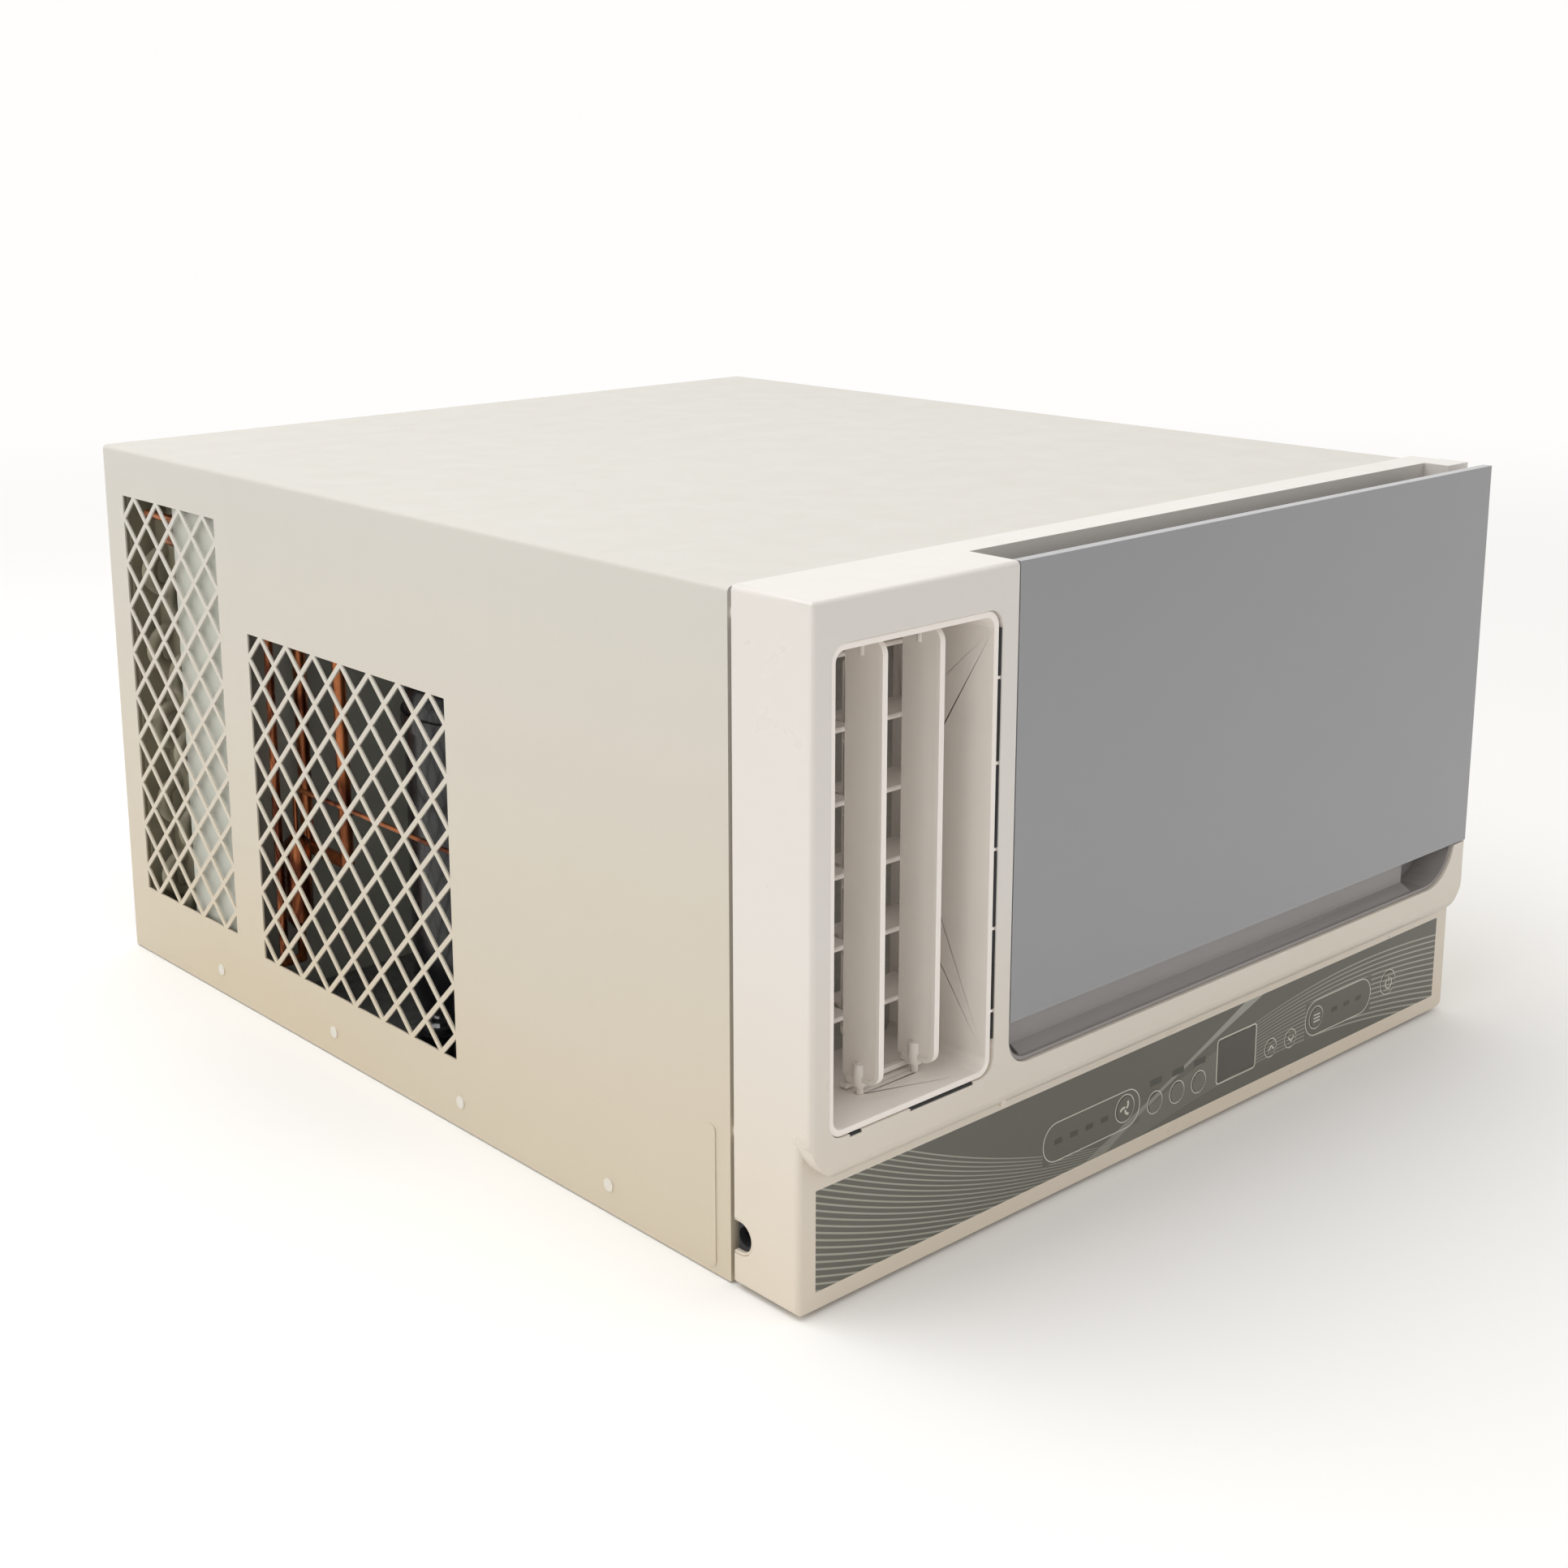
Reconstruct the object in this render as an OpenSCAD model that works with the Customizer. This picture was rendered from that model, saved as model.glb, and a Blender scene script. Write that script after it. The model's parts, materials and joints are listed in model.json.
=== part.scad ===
// Window air conditioner: sheet-metal cabinet, moulded front with a side air outlet, refrigeration
// circuit, double-ended fan motor, and a tilting intake panel. +X right, +Y to the outdoor side, +Z up.

/* [Cabinet] */
// Width of the sheet-metal cabinet
cabinet_w = 600; // [600:1:620]
// Depth of the cabinet, without the front bezel
cabinet_d = 660; // [660:1:680]
// Height of the cabinet
cabinet_h = 372; // [372:1:380]
// Thickness of the cabinet sheet
sheet_t = 1.2; // [1:0.1:1.2]
// Diagonal of one diamond of the side grilles
grille_pitch = 32; // [30:0.5:32]
// Width of a strand of the side grilles
strand_w = 3.2; // [2.5:0.1:4]

/* [Front] */
// Depth of the front bezel
bezel_d = 57; // [57:1:60]
// Gap between the bezel and the cabinet
bezel_gap = 4; // [3:0.5:5]
// How far the bezel stands out past each side of the cabinet
bezel_proud = 1; // [1:0.5:2]
// Wall thickness of the moulded parts
wall = 3; // [2.5:0.5:3]
// How far the control strip is set back from the upper face
strip_recess = 9; // [8:0.5:10]
// Thickness of the intake panel
panel_t = 6; // [5:0.5:6]

/* [Air outlet] */
// Number of horizontal vanes
vane_count = 6; // [6:1:6]
// Height between two vanes
vane_pitch = 39; // [38:0.5:39]

/* [Fan] */
// Radius of the centrifugal blower wheel
wheel_r = 118; // [112:1:118]
// Number of blades of the blower wheel
wheel_blades = 32; // [24:1:36]
// Radius of the slinger ring around the condenser fan
slinger_r = 161; // [155:1:161]
// Number of blades of the condenser fan
fan_blades = 5; // [4:1:6]

/* [Hidden] */
$fn = 48;

// Overall box, centred on the origin, standing on z = 0
total_d = bezel_d + bezel_gap + cabinet_d;
front_y = -total_d / 2;
bezel_back_y = front_y + bezel_d;
cab_y = bezel_back_y + bezel_gap;
rear_y = total_d / 2;
cab_x = cabinet_w / 2;
bezel_x = cab_x + bezel_proud;
bezel_bottom = 3;
bezel_top = cabinet_h + 2;
eps = 1;

// Folded flanges of the cabinet sheet
fold_r = 3;
front_flange = 10;
rear_flange = 18;
// Side grilles: front corner of each window (depth behind the cabinet's front edge, height), and cells
rear_window = [507, 51, 4, 9];
front_window = [247, 44, 7, 7];
// Screws that hold the cabinet to the pan
screw_z = 18;
screw_depths = [101.6, 244, 386, 532];
screw_head_r = 3.8;
screw_head_h = 0.8;
screw_r = 1.6;
screw_len = 3.8;
hole_slack = 0.15;
// Base pan
pan_t = 1.5;
pan_x = cab_x - sheet_t - 0.4;
pan_wall_h = 36;
pan_y0 = cab_y + sheet_t + 0.3;
pan_y1 = rear_y - sheet_t - 0.3;
// Drain spout in the pan's rear wall
spout_x = 230;
spout_z = 14;
spout_r = 9.5;
drain_r = 7;
spout_len = 20.5;

// Front bezel
upper_bottom = 75;
upper_corner_r = 28;
upper_lower_edge_r = 8;
edge_r = 3;
strip_y = front_y + strip_recess;
divider_x = -155.5;
divider_t = 3.5;
// Opening of the intake, its finger trough and its right-hand pillar
trough_z = 97;
trough_x1 = 287;
trough_r = [16, 30];
pillar_x = 278;
panel_x0 = -154.5;
panel_x1 = cab_x;
panel_z0 = 123;
panel_z1 = bezel_top - 0.2;
panel_back_y = front_y + panel_t;
pocket_y = panel_back_y + 0.4;
// Open slot in the top, behind the panel
slot_y1 = bezel_back_y - 22;
lip_z = 345;
// Hinge of the intake panel
hinge_y = panel_back_y + 4;
hinge_z = bezel_top - 6;
hinge_pin_r = 1.8;
hinge_ear_r = 3.2;
hinge_boss_r = 3.6;
hinge_sweep_r = 7.6;
step_y = hinge_y + hinge_sweep_r;
step_z = hinge_z - 2;
run_fit = 0.06;
// Posts that the bezel screws run into
post_r = 5;
post_x = 293.5;
post_zs = [86, 359];
post_bore_r = 1.6;
post_bore_len = 15;
// Cord notch in the left wall
notch_z = 30;
notch_r = 10;
notch_depth = 4;

// Air outlet
frame_x = [-288, -169];
frame_z = [98, 351];
frame_t = 3.5;
frame_r = 9;
frame_y0 = front_y + 1;
frame_y1 = -288;
slit_w = 1.7;
slit_tab_zs = [133.5, 179.5, 223, 269.6, 315];
floor_slits = [[-274, -265.5], [-230.6, -183]];
flange_w = 4;
inner_x = [frame_x[0] + frame_t, frame_x[1] - frame_t];
inner_z = [frame_z[0] + frame_t, frame_z[1] - frame_t];
outlet_mid_x = (inner_x[0] + inner_x[1]) / 2;
// Vertical louvers
louver_xs = [-242, -201];
louver_y = front_y + 25.5;
louver_reach = [15.5, 11.5];
louver_t = 2;
louver_rim_t = 3.6;
louver_z = [109, 345];
louver_corner_r = 8;
louver_pin_r = 2;
louver_crank = 8;
crank_z = [106.2, 109];
link_pin_r = 1.2;
link_slack = 0.35;
link_z = [103, 105.6];
link_w = 4.6;
// Horizontal vanes
vane_y = front_y + 54.5;
vane_top_z = 332;
vane_chord = 25;
vane_t = 2;
vane_pin_r = 1.5;
vane_notch_x = [outlet_mid_x - 4.5, outlet_mid_x + 2.5];
vane_notch_depth = 20;
vane_ear_t = 2;
vane_crank = [-6, -10];
vane_bar_x = [vane_notch_x[0] + 2.2, vane_notch_x[0] + 4.7];
vane_bar_w = 6;
// Swing motor under the outlet floor
swing_r = 12;
swing_h = 18;

// Intake frame and air filter
filter_y = front_y + 20.5;
filter_t = 4;
filter_x = [-147, 270];
filter_z = [127, 366];
filter_bar = 7;
mesh_t = 0.6;
guide_gap = 0.5;
grid_y = filter_y + filter_t + 5;
grid_t = 3;
grid_z = [126, 342];
grid_bars = [20, 4];
trough_wall = 2;
ledge_y = front_y + 11.5;
pocket_x = 243;
finger_y = front_y + 25;

// Control strip: key centres (x, z) and radii
overlay_x = [-289, 287];
overlay_z = [12.5, 68.5];
overlay_t = 0.5;
display_x = [47, 84];
display_z = [23.5, 50];
key_proud = 0.6;
key_slack = 0.35;
key_collar = 1.5;
key_collar_t = 1.2;
key_fan = [-42, 35, 8];
key_swing = [-14, 30, 6.5];
key_timer = [7, 30, 6.5];
key_sleep = [28, 30, 6.5];
key_up = [101, 30.2, 5.6];
key_down = [122, 30.3, 5.6];
key_mode = [149.4, 36.5, 7];
key_power = [231, 38, 8];
keys = [key_fan, key_swing, key_timer, key_sleep, key_up, key_down, key_mode, key_power];
board_gap = 3.5;
board_t = 1.6;

// Fan, motor and scroll
fan_x = 20;
fan_z = 190;
shaft_r = 6;
wheel_y = [-216, -122];
wheel_ring_w = 14;
motor_r = 58;
motor_y = [-104, 30];
fan_y = 232;
fan_hub_r = 30;
fan_pitch = 25;
blade_half_angle = 28;
scroll_y = [-227, -114];
scroll_t = 2.5;
scroll_r0 = 130;
scroll_growth = 32;
inlet_r = 100;
bulkhead_y = -110;
bulkhead_t = 1.5;
shroud_y = [205, 272];
shroud_x = 296;
shroud_z = [pan_t, 369];
shroud_hole_r = 168;

// Heat exchangers: block from x to x, first tube height, tube pitch, count, rows in depth
evap_tube_r = 4;
cond_tube_r = 4.75;
tube_count = 11;
plate_t = 1.2;
evap = [-134, 272, 60, 26];
evap_rows = [-285, -262];
evap_block_y = [-293.5, -252];
evap_block_z = [44, 350];
evap_plate_z = [4, 354];
cond = [-276, 276, 33, 28];
cond_rows = [291, 321];
cond_block_y = [276, 336];
cond_block_z = [16, 345];
cond_plate_z = [pan_t, 351];
// How far the second row's tubes are shifted, in pitches, and how far the cross-over tube stands out
row_stagger = 0.5;
cross_reach = 12;
// How far the inlet and outlet tubes stand out of the left end plate
tube_stub = 6.5;

// Compressor and pipes
comp_at = [-190, 50];
comp_r = 60;
comp_z = [27, 255];
comp_dome = 24;
foot_angles = [80, 200, 320];
foot_root = 40;
foot_reach = 75;
foot_pad_r = 14;
grommet_r = 9;
stud_r = 3;
acc_at = [-100, 55];
acc_r = 22;
acc_z = [62, 205];
acc_tail_r = 5;
elbow_swell = 1.06;
discharge_r = 4.5;
suction_r = 4;
liquid_r = 3;
capillary_r = 1.6;
header_x = -289;
riser_x = -159;
drier_at = [-275, 165];
drier_z = [60, 130];
drier_r = 9;
capillary_z = 45;
suction_z = 60;
capillary_y = -90;
suction_y = -85;

// Electronics box behind the bulkhead, from corner to corner
box_lo = [120, bulkhead_y + bulkhead_t, 130];
box_hi = [285, 90, 300];

// ---- helpers ----

// Extrude an outline drawn as (x, z) along +Y
module along_y(y0, y1) {
    translate([0, y1, 0]) rotate([90, 0, 0]) linear_extrude(y1 - y0) children();
}

// Extrude an outline drawn as (y, z) along +X
module along_x(x0, x1) {
    translate([x0, 0, 0]) rotate([90, 0, 90]) linear_extrude(x1 - x0) children();
}

// What a square corner loses to a round of radius r
module corner_waste(r) {
    difference() {
        translate([-eps, -eps]) square(r + eps);
        translate([r, r]) circle(r);
    }
}

// Rectangle from lo to hi; r = radii of the bottom-left, bottom-right, top-right and top-left corners
module plate_2d(lo, hi, r = [0, 0, 0, 0]) {
    corners = [lo, [hi[0], lo[1]], hi, [lo[0], hi[1]]];
    difference() {
        translate(lo) square(hi - lo);
        for (i = [0:3]) if (r[i] > 0) translate(corners[i]) rotate(90 * i) corner_waste(r[i]);
    }
}

module ring_2d(r_out, r_in) {
    difference() {
        circle(r_out);
        circle(r_in);
    }
}

// Box from one corner to the opposite one
module block(lo, hi) {
    translate(lo) cube(hi - lo);
}

// Cylinder between two points along one axis, given start, unit direction and length
module rod(at, dir, len, r) {
    flip = dir[2] < 0 ? 180 : 0;
    turn = dir[0] != 0 ? [0, 90 * dir[0], 0] : dir[1] != 0 ? [-90 * dir[1], 0, 0] : [0, flip, 0];
    translate(at) rotate(turn) cylinder(h = len, r = r);
}

// Cylinder from one point to another, in any direction
module strut(a, b, r) {
    way = b - a;
    len = norm(way);
    translate(a) rotate([0, acos(way[2] / len), atan2(way[1], way[0])]) cylinder(h = len, r = r);
}

// Round pipe through points that turn only at right angles, with ball elbows a little wider than the pipe
module pipe(points, r) {
    for (i = [0:len(points) - 2]) {
        step = points[i + 1] - points[i];
        rod(points[i], step / norm(step), norm(step), r);
    }
    for (i = [1:len(points) - 2]) translate(points[i]) sphere(r * elbow_swell);
}

// Local z runs along +Y, on the fan's axis
module on_fan_axis(y) {
    translate([fan_x, y, fan_z]) rotate([-90, 0, 0]) children();
}

module both_sides() {
    children();
    mirror([1, 0, 0]) children();
}

// ---- cabinet ----

// Strands of one grille window
module grille_2d(window) {
    half = grille_pitch / 2 - strand_w / sqrt(2);
    origin = [cab_y + window[0], window[1]];
    difference() {
        translate(origin) square([window[2], window[3]] * grille_pitch);
        for (i = [0:window[2]], j = [0:window[3]])
            translate(origin + [i, j] * grille_pitch) circle(half, $fn = 4);
        for (i = [0:window[2] - 1], j = [0:window[3] - 1])
            translate(origin + [i + 0.5, j + 0.5] * grille_pitch) circle(half, $fn = 4);
    }
}

module window_cut(window) {
    lo = [cab_y + window[0], window[1]];
    along_x(cab_x - 2 * sheet_t, cab_x + eps)
        plate_2d(lo, lo + [window[2], window[3]] * grille_pitch);
}

// The sheet's outline at the front and rear folds; open at the bottom
module fold_2d(width) {
    inner = cab_x - sheet_t;
    difference() {
        plate_2d([-inner, 1], [inner, cabinet_h - sheet_t], [0, 0, 2, 2]);
        plate_2d([-inner + width, -eps], [inner - width, cabinet_h - sheet_t - width]);
    }
}

module cabinet_shell() {
    color("gainsboro") {
        difference() {
            union() {
                along_y(cab_y, rear_y) difference() {
                    plate_2d([-cab_x, 1], [cab_x, cabinet_h], [0, 0, fold_r, fold_r]);
                    plate_2d([sheet_t - cab_x, -eps], [cab_x - sheet_t, cabinet_h - sheet_t], [0, 0, 2, 2]);
                }
                along_y(cab_y, cab_y + sheet_t) fold_2d(front_flange);
                along_y(rear_y - sheet_t, rear_y) fold_2d(rear_flange);
                both_sides() along_x(cab_x - 0.5, cab_x + 0.7)
                    plate_2d([cab_y + 11.4, 5], [cab_y + 17.8, 85], [3, 3, 3, 3]);
            }
            both_sides() {
                window_cut(rear_window);
                window_cut(front_window);
                for (d = screw_depths)
                    rod([cab_x - 5, cab_y + d, screw_z], [1, 0, 0], 10, screw_r + hole_slack);
                for (z = post_zs)
                    rod([post_x, cab_y - eps, z], [0, 1, 0], 5, screw_r + hole_slack);
            }
        }
        both_sides() for (w = [rear_window, front_window])
            along_x(cab_x - sheet_t, cab_x) grille_2d(w);
    }
}

// Self-tapping screws: cabinet to pan along the sides, and cabinet flange to bezel posts at the front
module housing_screws() {
    color("silver") both_sides() {
        for (d = screw_depths) {
            rod([cab_x, cab_y + d, screw_z], [1, 0, 0], screw_head_h, screw_head_r);
            rod([cab_x, cab_y + d, screw_z], [-1, 0, 0], screw_len, screw_r);
        }
        for (z = post_zs) {
            rod([post_x, cab_y + sheet_t, z], [0, 1, 0], 2, 3.4);
            rod([post_x, cab_y + sheet_t, z], [0, -1, 0], post_bore_len - 2, post_bore_r);
        }
    }
}

module base_pan() {
    hollow_x = pan_x - pan_t;
    color("lightslategray") difference() {
        block([-pan_x, pan_y0, 0], [pan_x, pan_y1, pan_wall_h]);
        block([-hollow_x, pan_y0 + pan_t, pan_t], [hollow_x, pan_y1 - pan_t, pan_wall_h + eps]);
        both_sides() for (d = screw_depths)
            rod([pan_x - 5, cab_y + d, screw_z], [1, 0, 0], 10, screw_r + hole_slack);
        rod([spout_x, pan_y1 - 5, spout_z], [0, 1, 0], 10, spout_r);
    }
}

module drain_spout() {
    color("dimgray") difference() {
        union() {
            rod([spout_x, rear_y - spout_len, spout_z], [0, 1, 0], spout_len, spout_r);
            rod([spout_x, pan_y1 - pan_t - 2, spout_z], [0, 1, 0], 2, spout_r + 2.5);
        }
        rod([spout_x, rear_y - spout_len - eps, spout_z], [0, 1, 0], spout_len + 2 * eps, drain_r);
    }
}

// ---- front bezel ----

// Upper body of the bezel, rounded at its lower edge and corners
module bezel_upper() {
    intersection() {
        along_y(front_y, bezel_back_y)
            plate_2d([-bezel_x, upper_bottom], [bezel_x, bezel_top],
                     [upper_corner_r, upper_corner_r, edge_r, edge_r]);
        along_x(-bezel_x - eps, bezel_x + eps)
            plate_2d([front_y, upper_bottom], [bezel_back_y, bezel_top],
                     [upper_lower_edge_r, 0, 0, edge_r]);
        translate([0, 0, -eps]) linear_extrude(bezel_top + 2 * eps)
            plate_2d([-bezel_x, front_y], [bezel_x, bezel_back_y], [edge_r, edge_r, 0, 0]);
    }
}

module bezel_lower() {
    intersection() {
        along_y(strip_y, bezel_back_y)
            plate_2d([-bezel_x, bezel_bottom], [bezel_x, upper_bottom + 60], [2, 8, 0, 0]);
        translate([0, 0, -eps]) linear_extrude(bezel_top)
            plate_2d([-bezel_x, strip_y], [bezel_x, bezel_back_y], [edge_r, edge_r, 0, 0]);
    }
}

module bezel_hollow() {
    inner = bezel_x - wall;
    along_y(front_y + wall, bezel_back_y + eps)
        plate_2d([-inner, upper_bottom + wall], [inner, bezel_top - wall],
                 [upper_corner_r - wall, upper_corner_r - wall, 0, 0]);
    along_y(strip_y + wall, bezel_back_y + eps)
        plate_2d([-inner, bezel_bottom + wall], [inner, upper_bottom + 40], [0, 5, 0, 0]);
}

// Everything that the intake leaves open in the front and top walls
module intake_cut() {
    along_y(front_y - eps, strip_y + wall + 2)
        plate_2d([divider_x, trough_z], [trough_x1, panel_z0 + 10], [trough_r[0], trough_r[1], 0, 0]);
    along_y(front_y - eps, slot_y1)
        plate_2d([divider_x, panel_z0], [pillar_x, bezel_top + eps]);
    along_y(front_y - eps, pocket_y)
        plate_2d([divider_x, panel_z0 - 1], [bezel_x + eps, bezel_top + eps]);
    swing_step();
}

// Room above the pillar for the panel's top edge, which swings back as the panel tilts
module swing_step() {
    block([pillar_x - eps, pocket_y - eps, step_z], [bezel_x + eps, step_y, bezel_top + eps]);
}

// Hollow pillar behind the panel's right end, stepped down where the panel's top edge swings
module pillar() {
    difference() {
        block([pillar_x, pocket_y, panel_z0 - 1], [bezel_x, bezel_back_y - 20, bezel_top]);
        block([pillar_x + wall, pocket_y + wall, panel_z0 - 4],
              [bezel_x - wall, bezel_back_y, step_z - wall]);
        block([pillar_x + wall, step_y + wall, step_z - wall - eps],
              [bezel_x - wall, bezel_back_y, bezel_top - wall]);
        swing_step();
    }
    rod([pillar_x, hinge_y, hinge_z], [1, 0, 0], wall, hinge_boss_r);
}

module outlet_cut() {
    along_y(front_y - eps, front_y + wall + eps)
        plate_2d([frame_x[0] - 0.3, frame_z[0] - 0.3], [frame_x[1] + slit_w, frame_z[1] + 0.3],
                 [1, 1, 1, 1] * (frame_r + 0.3));
    for (s = floor_slits)
        block([s[0], front_y - eps, frame_z[0] - 1.7], [s[1], front_y + wall + eps, frame_z[0]]);
}

module notch_2d(grow) {
    translate([bezel_back_y - notch_depth, notch_z]) circle(notch_r + grow);
    translate([bezel_back_y - notch_depth, notch_z - notch_r - grow])
        square([notch_depth + 2 * eps, 2 * (notch_r + grow)]);
}

module front_bezel() {
    color("whitesmoke") difference() {
        union() {
            difference() {
                union() {
                    bezel_upper();
                    bezel_lower();
                }
                bezel_hollow();
                outlet_cut();
                intake_cut();
                block([overlay_x[0], strip_y - eps, overlay_z[0]],
                      [overlay_x[1], strip_y + overlay_t, overlay_z[1]]);
                block([display_x[0], strip_y - eps, display_z[0]],
                      [display_x[1], strip_y + wall + eps, display_z[1]]);
                for (k = keys) rod([k[0], strip_y - eps, k[1]], [0, 1, 0], wall + 2 * eps, k[2]);
                along_x(-bezel_x - eps, -bezel_x + wall + eps) notch_2d(0);
            }
            // wall between the outlet and the intake
            block([divider_x - divider_t, front_y + 1, upper_bottom + 1],
                  [divider_x, bezel_back_y, bezel_top - 1]);
            // lip behind the top slot
            block([divider_x - eps, slot_y1, lip_z], [pillar_x + wall, slot_y1 + wall, bezel_top - 1]);
            pillar();
            both_sides() for (z = post_zs)
                rod([post_x, front_y + 9, z], [0, 1, 0], cab_y - front_y - 9, post_r);
        }
        both_sides() for (z = post_zs)
            rod([post_x, cab_y - post_bore_len, z], [0, 1, 0], post_bore_len + eps, post_bore_r);
        rod([divider_x - divider_t - eps, hinge_y, hinge_z], [1, 0, 0], divider_t + 2 * eps,
            hinge_pin_r + run_fit);
        rod([pillar_x - eps, hinge_y, hinge_z], [1, 0, 0], wall + 2 * eps, hinge_pin_r + run_fit);
    }
}

module cord_grommet() {
    color("dimgray") difference() {
        along_x(wall - bezel_x, wall - bezel_x + 5) notch_2d(2);
        block([-bezel_x, bezel_back_y, 0], [0, 0, 2 * notch_z]);
        rod([-bezel_x, bezel_back_y - notch_depth - 2, notch_z], [1, 0, 0], 12, 5.5);
    }
}

// ---- intake ----

module intake_panel() {
    rim = 2.5;
    ear_xs = [panel_x0 + 1.5, pillar_x - 3.5];
    color("darkgray") {
        difference() {
            block([panel_x0, front_y, panel_z0], [panel_x1, panel_back_y, panel_z1]);
            for (i = [0:3]) {
                cell = (panel_x1 - panel_x0 - rim) / 4;
                x = panel_x0 + rim + i * cell;
                block([x, front_y + rim, panel_z0 + rim],
                      [x + cell - rim, panel_back_y + eps, panel_z1 - 12]);
            }
        }
        for (x = ear_xs) {
            rod([x, hinge_y, hinge_z], [1, 0, 0], rim, hinge_ear_r);
            block([x, panel_back_y - eps, hinge_z - hinge_ear_r],
                  [x + rim, hinge_y, hinge_z + hinge_ear_r]);
        }
        // the ends of the hinge pin, in the divider and in the pillar
        rod([divider_x - divider_t, hinge_y, hinge_z], [1, 0, 0], ear_xs[0] + eps - divider_x + divider_t,
            hinge_pin_r);
        rod([ear_xs[1] + rim - eps, hinge_y, hinge_z], [1, 0, 0], pillar_x + wall - ear_xs[1] - rim + eps,
            hinge_pin_r);
    }
}

// Slotted guard between the filter and the evaporator
module grid_2d() {
    size = [filter_x[1] - filter_x[0], grid_z[1] - grid_z[0]];
    cell = [size[0] / grid_bars[0], size[1] / grid_bars[1]];
    bar = 3;
    difference() {
        translate([filter_x[0] - 6, grid_z[0] - 6]) square(size + [12, 12]);
        for (i = [0:grid_bars[0] - 1], j = [0:grid_bars[1] - 1])
            translate([filter_x[0] + i * cell[0] + bar / 2, grid_z[0] + j * cell[1] + bar / 2])
                square(cell - [bar, bar]);
    }
}

module filter_guide(x0, x1) {
    block([x0, filter_y - guide_gap - 2, filter_z[0] - 3], [x1, grid_y + 1, grid_z[1] + 6]);
}

// Grey moulding: trough below the panel, finger pocket at its right, filter guides and guard
module intake_frame() {
    x0 = divider_x + 0.3;
    x1 = trough_x1 - 0.3;
    z0 = trough_z + 0.3;
    z1 = panel_z0 - 1.6;
    lip_y = front_y + 2;
    color("gray") {
        along_y(lip_y, finger_y) difference() {
            plate_2d([x0, z0], [x1, z1], [trough_r[0] - 0.3, trough_r[1] - 0.3, 0, 0]);
            plate_2d([x0 + trough_wall, z0 + trough_wall], [x1 - trough_wall, z1 + eps],
                     [trough_r[0] - 2, trough_r[1] - 2, 0, 0]);
        }
        // set-back ledge, then the deeper finger pocket
        block([x0 + 1, ledge_y, z0 + 1], [pocket_x, ledge_y + trough_wall, z1 + 3]);
        block([pocket_x - trough_wall, ledge_y, z0 + 1], [pocket_x, finger_y, z1 + 3]);
        along_y(finger_y - trough_wall, finger_y)
            plate_2d([x0 + 1, z0 + 1], [x1 - 1, z1], [trough_r[0] - 1, trough_r[1] - 1, 0, 0]);
        // sloping floor of the trough
        along_x(x0 + 14, pocket_x)
            polygon([[lip_y + 0.5, z0 + 1], [ledge_y + 1, z0 + 1], [ledge_y + 1, z0 + 7]]);
        block([x0 + 4, finger_y - trough_wall, z1 - 4], [pillar_x - 3, grid_y + grid_t, z1]);
        along_y(grid_y, grid_y + grid_t) grid_2d();
        difference() {
            union() {
                filter_guide(filter_x[0] - 6, filter_x[0] + 4);
                filter_guide(filter_x[1] - 4, filter_x[1] + 6);
            }
            block([filter_x[0] - guide_gap, filter_y - guide_gap, 0],
                  [filter_x[1] + guide_gap, filter_y + filter_t + guide_gap, cabinet_h]);
        }
    }
}

module filter_frame() {
    bays = 4;
    bay = (filter_x[1] - filter_x[0] - filter_bar) / bays;
    front = [filter_y, filter_y + (filter_t - mesh_t) / 2];
    color("dimgray") {
        along_y(filter_y, filter_y + filter_t) difference() {
            translate([filter_x[0], filter_z[0]])
                square([filter_x[1] - filter_x[0], filter_z[1] - filter_z[0]]);
            translate([filter_x[0] + filter_bar, filter_z[0] + filter_bar])
                square([filter_x[1] - filter_x[0], filter_z[1] - filter_z[0]]
                       - 2 * [filter_bar, filter_bar]);
        }
        for (i = [1:bays - 1])
            block([filter_x[0] + i * bay + 2, front[0], filter_z[0] + 1],
                  [filter_x[0] + i * bay + 5, front[1], filter_z[1] - 1]);
        for (k = [1:2]) {
            z = filter_z[0] + k * (filter_z[1] - filter_z[0]) / 3;
            block([filter_x[0] + 1, front[0], z - 1.5], [filter_x[1] - 1, front[1], z + 1.5]);
        }
    }
}

module filter_mesh() {
    y = filter_y + (filter_t - mesh_t) / 2;
    color("slategray")
        block([filter_x[0] + filter_bar, y, filter_z[0] + filter_bar],
              [filter_x[1] - filter_bar, y + mesh_t, filter_z[1] - filter_bar]);
}

// ---- air outlet ----

module outlet_frame() {
    tab_y = front_y + wall;
    color("silver") difference() {
        union() {
            along_y(frame_y0, frame_y1)
                plate_2d([frame_x[0], frame_z[0]], [frame_x[1], frame_z[1]], [1, 1, 1, 1] * frame_r);
            along_y(tab_y, tab_y + 2)
                plate_2d([frame_x[0] - flange_w, frame_z[0] - flange_w],
                         [frame_x[1] + slit_w + 2, frame_z[1] + flange_w], [1, 1, 1, 1] * frame_r);
            for (z = slit_tab_zs)
                block([frame_x[1] - 2, frame_y0, z - 1], [frame_x[1] + slit_w - 0.1, tab_y + 1, z + 1]);
        }
        along_y(frame_y0 - eps, frame_y1 + eps)
            plate_2d([inner_x[0], inner_z[0]], [inner_x[1], inner_z[1]], [1, 1, 1, 1] * (frame_r - 3));
        for (x = louver_xs)
            rod([x, louver_y, 0], [0, 0, 1], cabinet_h, louver_pin_r + run_fit);
        for (i = [0:vane_count - 1])
            rod([frame_x[0] - eps, vane_y, vane_top_z - i * vane_pitch], [1, 0, 0],
                frame_x[1] - frame_x[0] + 2 * eps, vane_pin_r + run_fit);
    }
}

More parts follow.
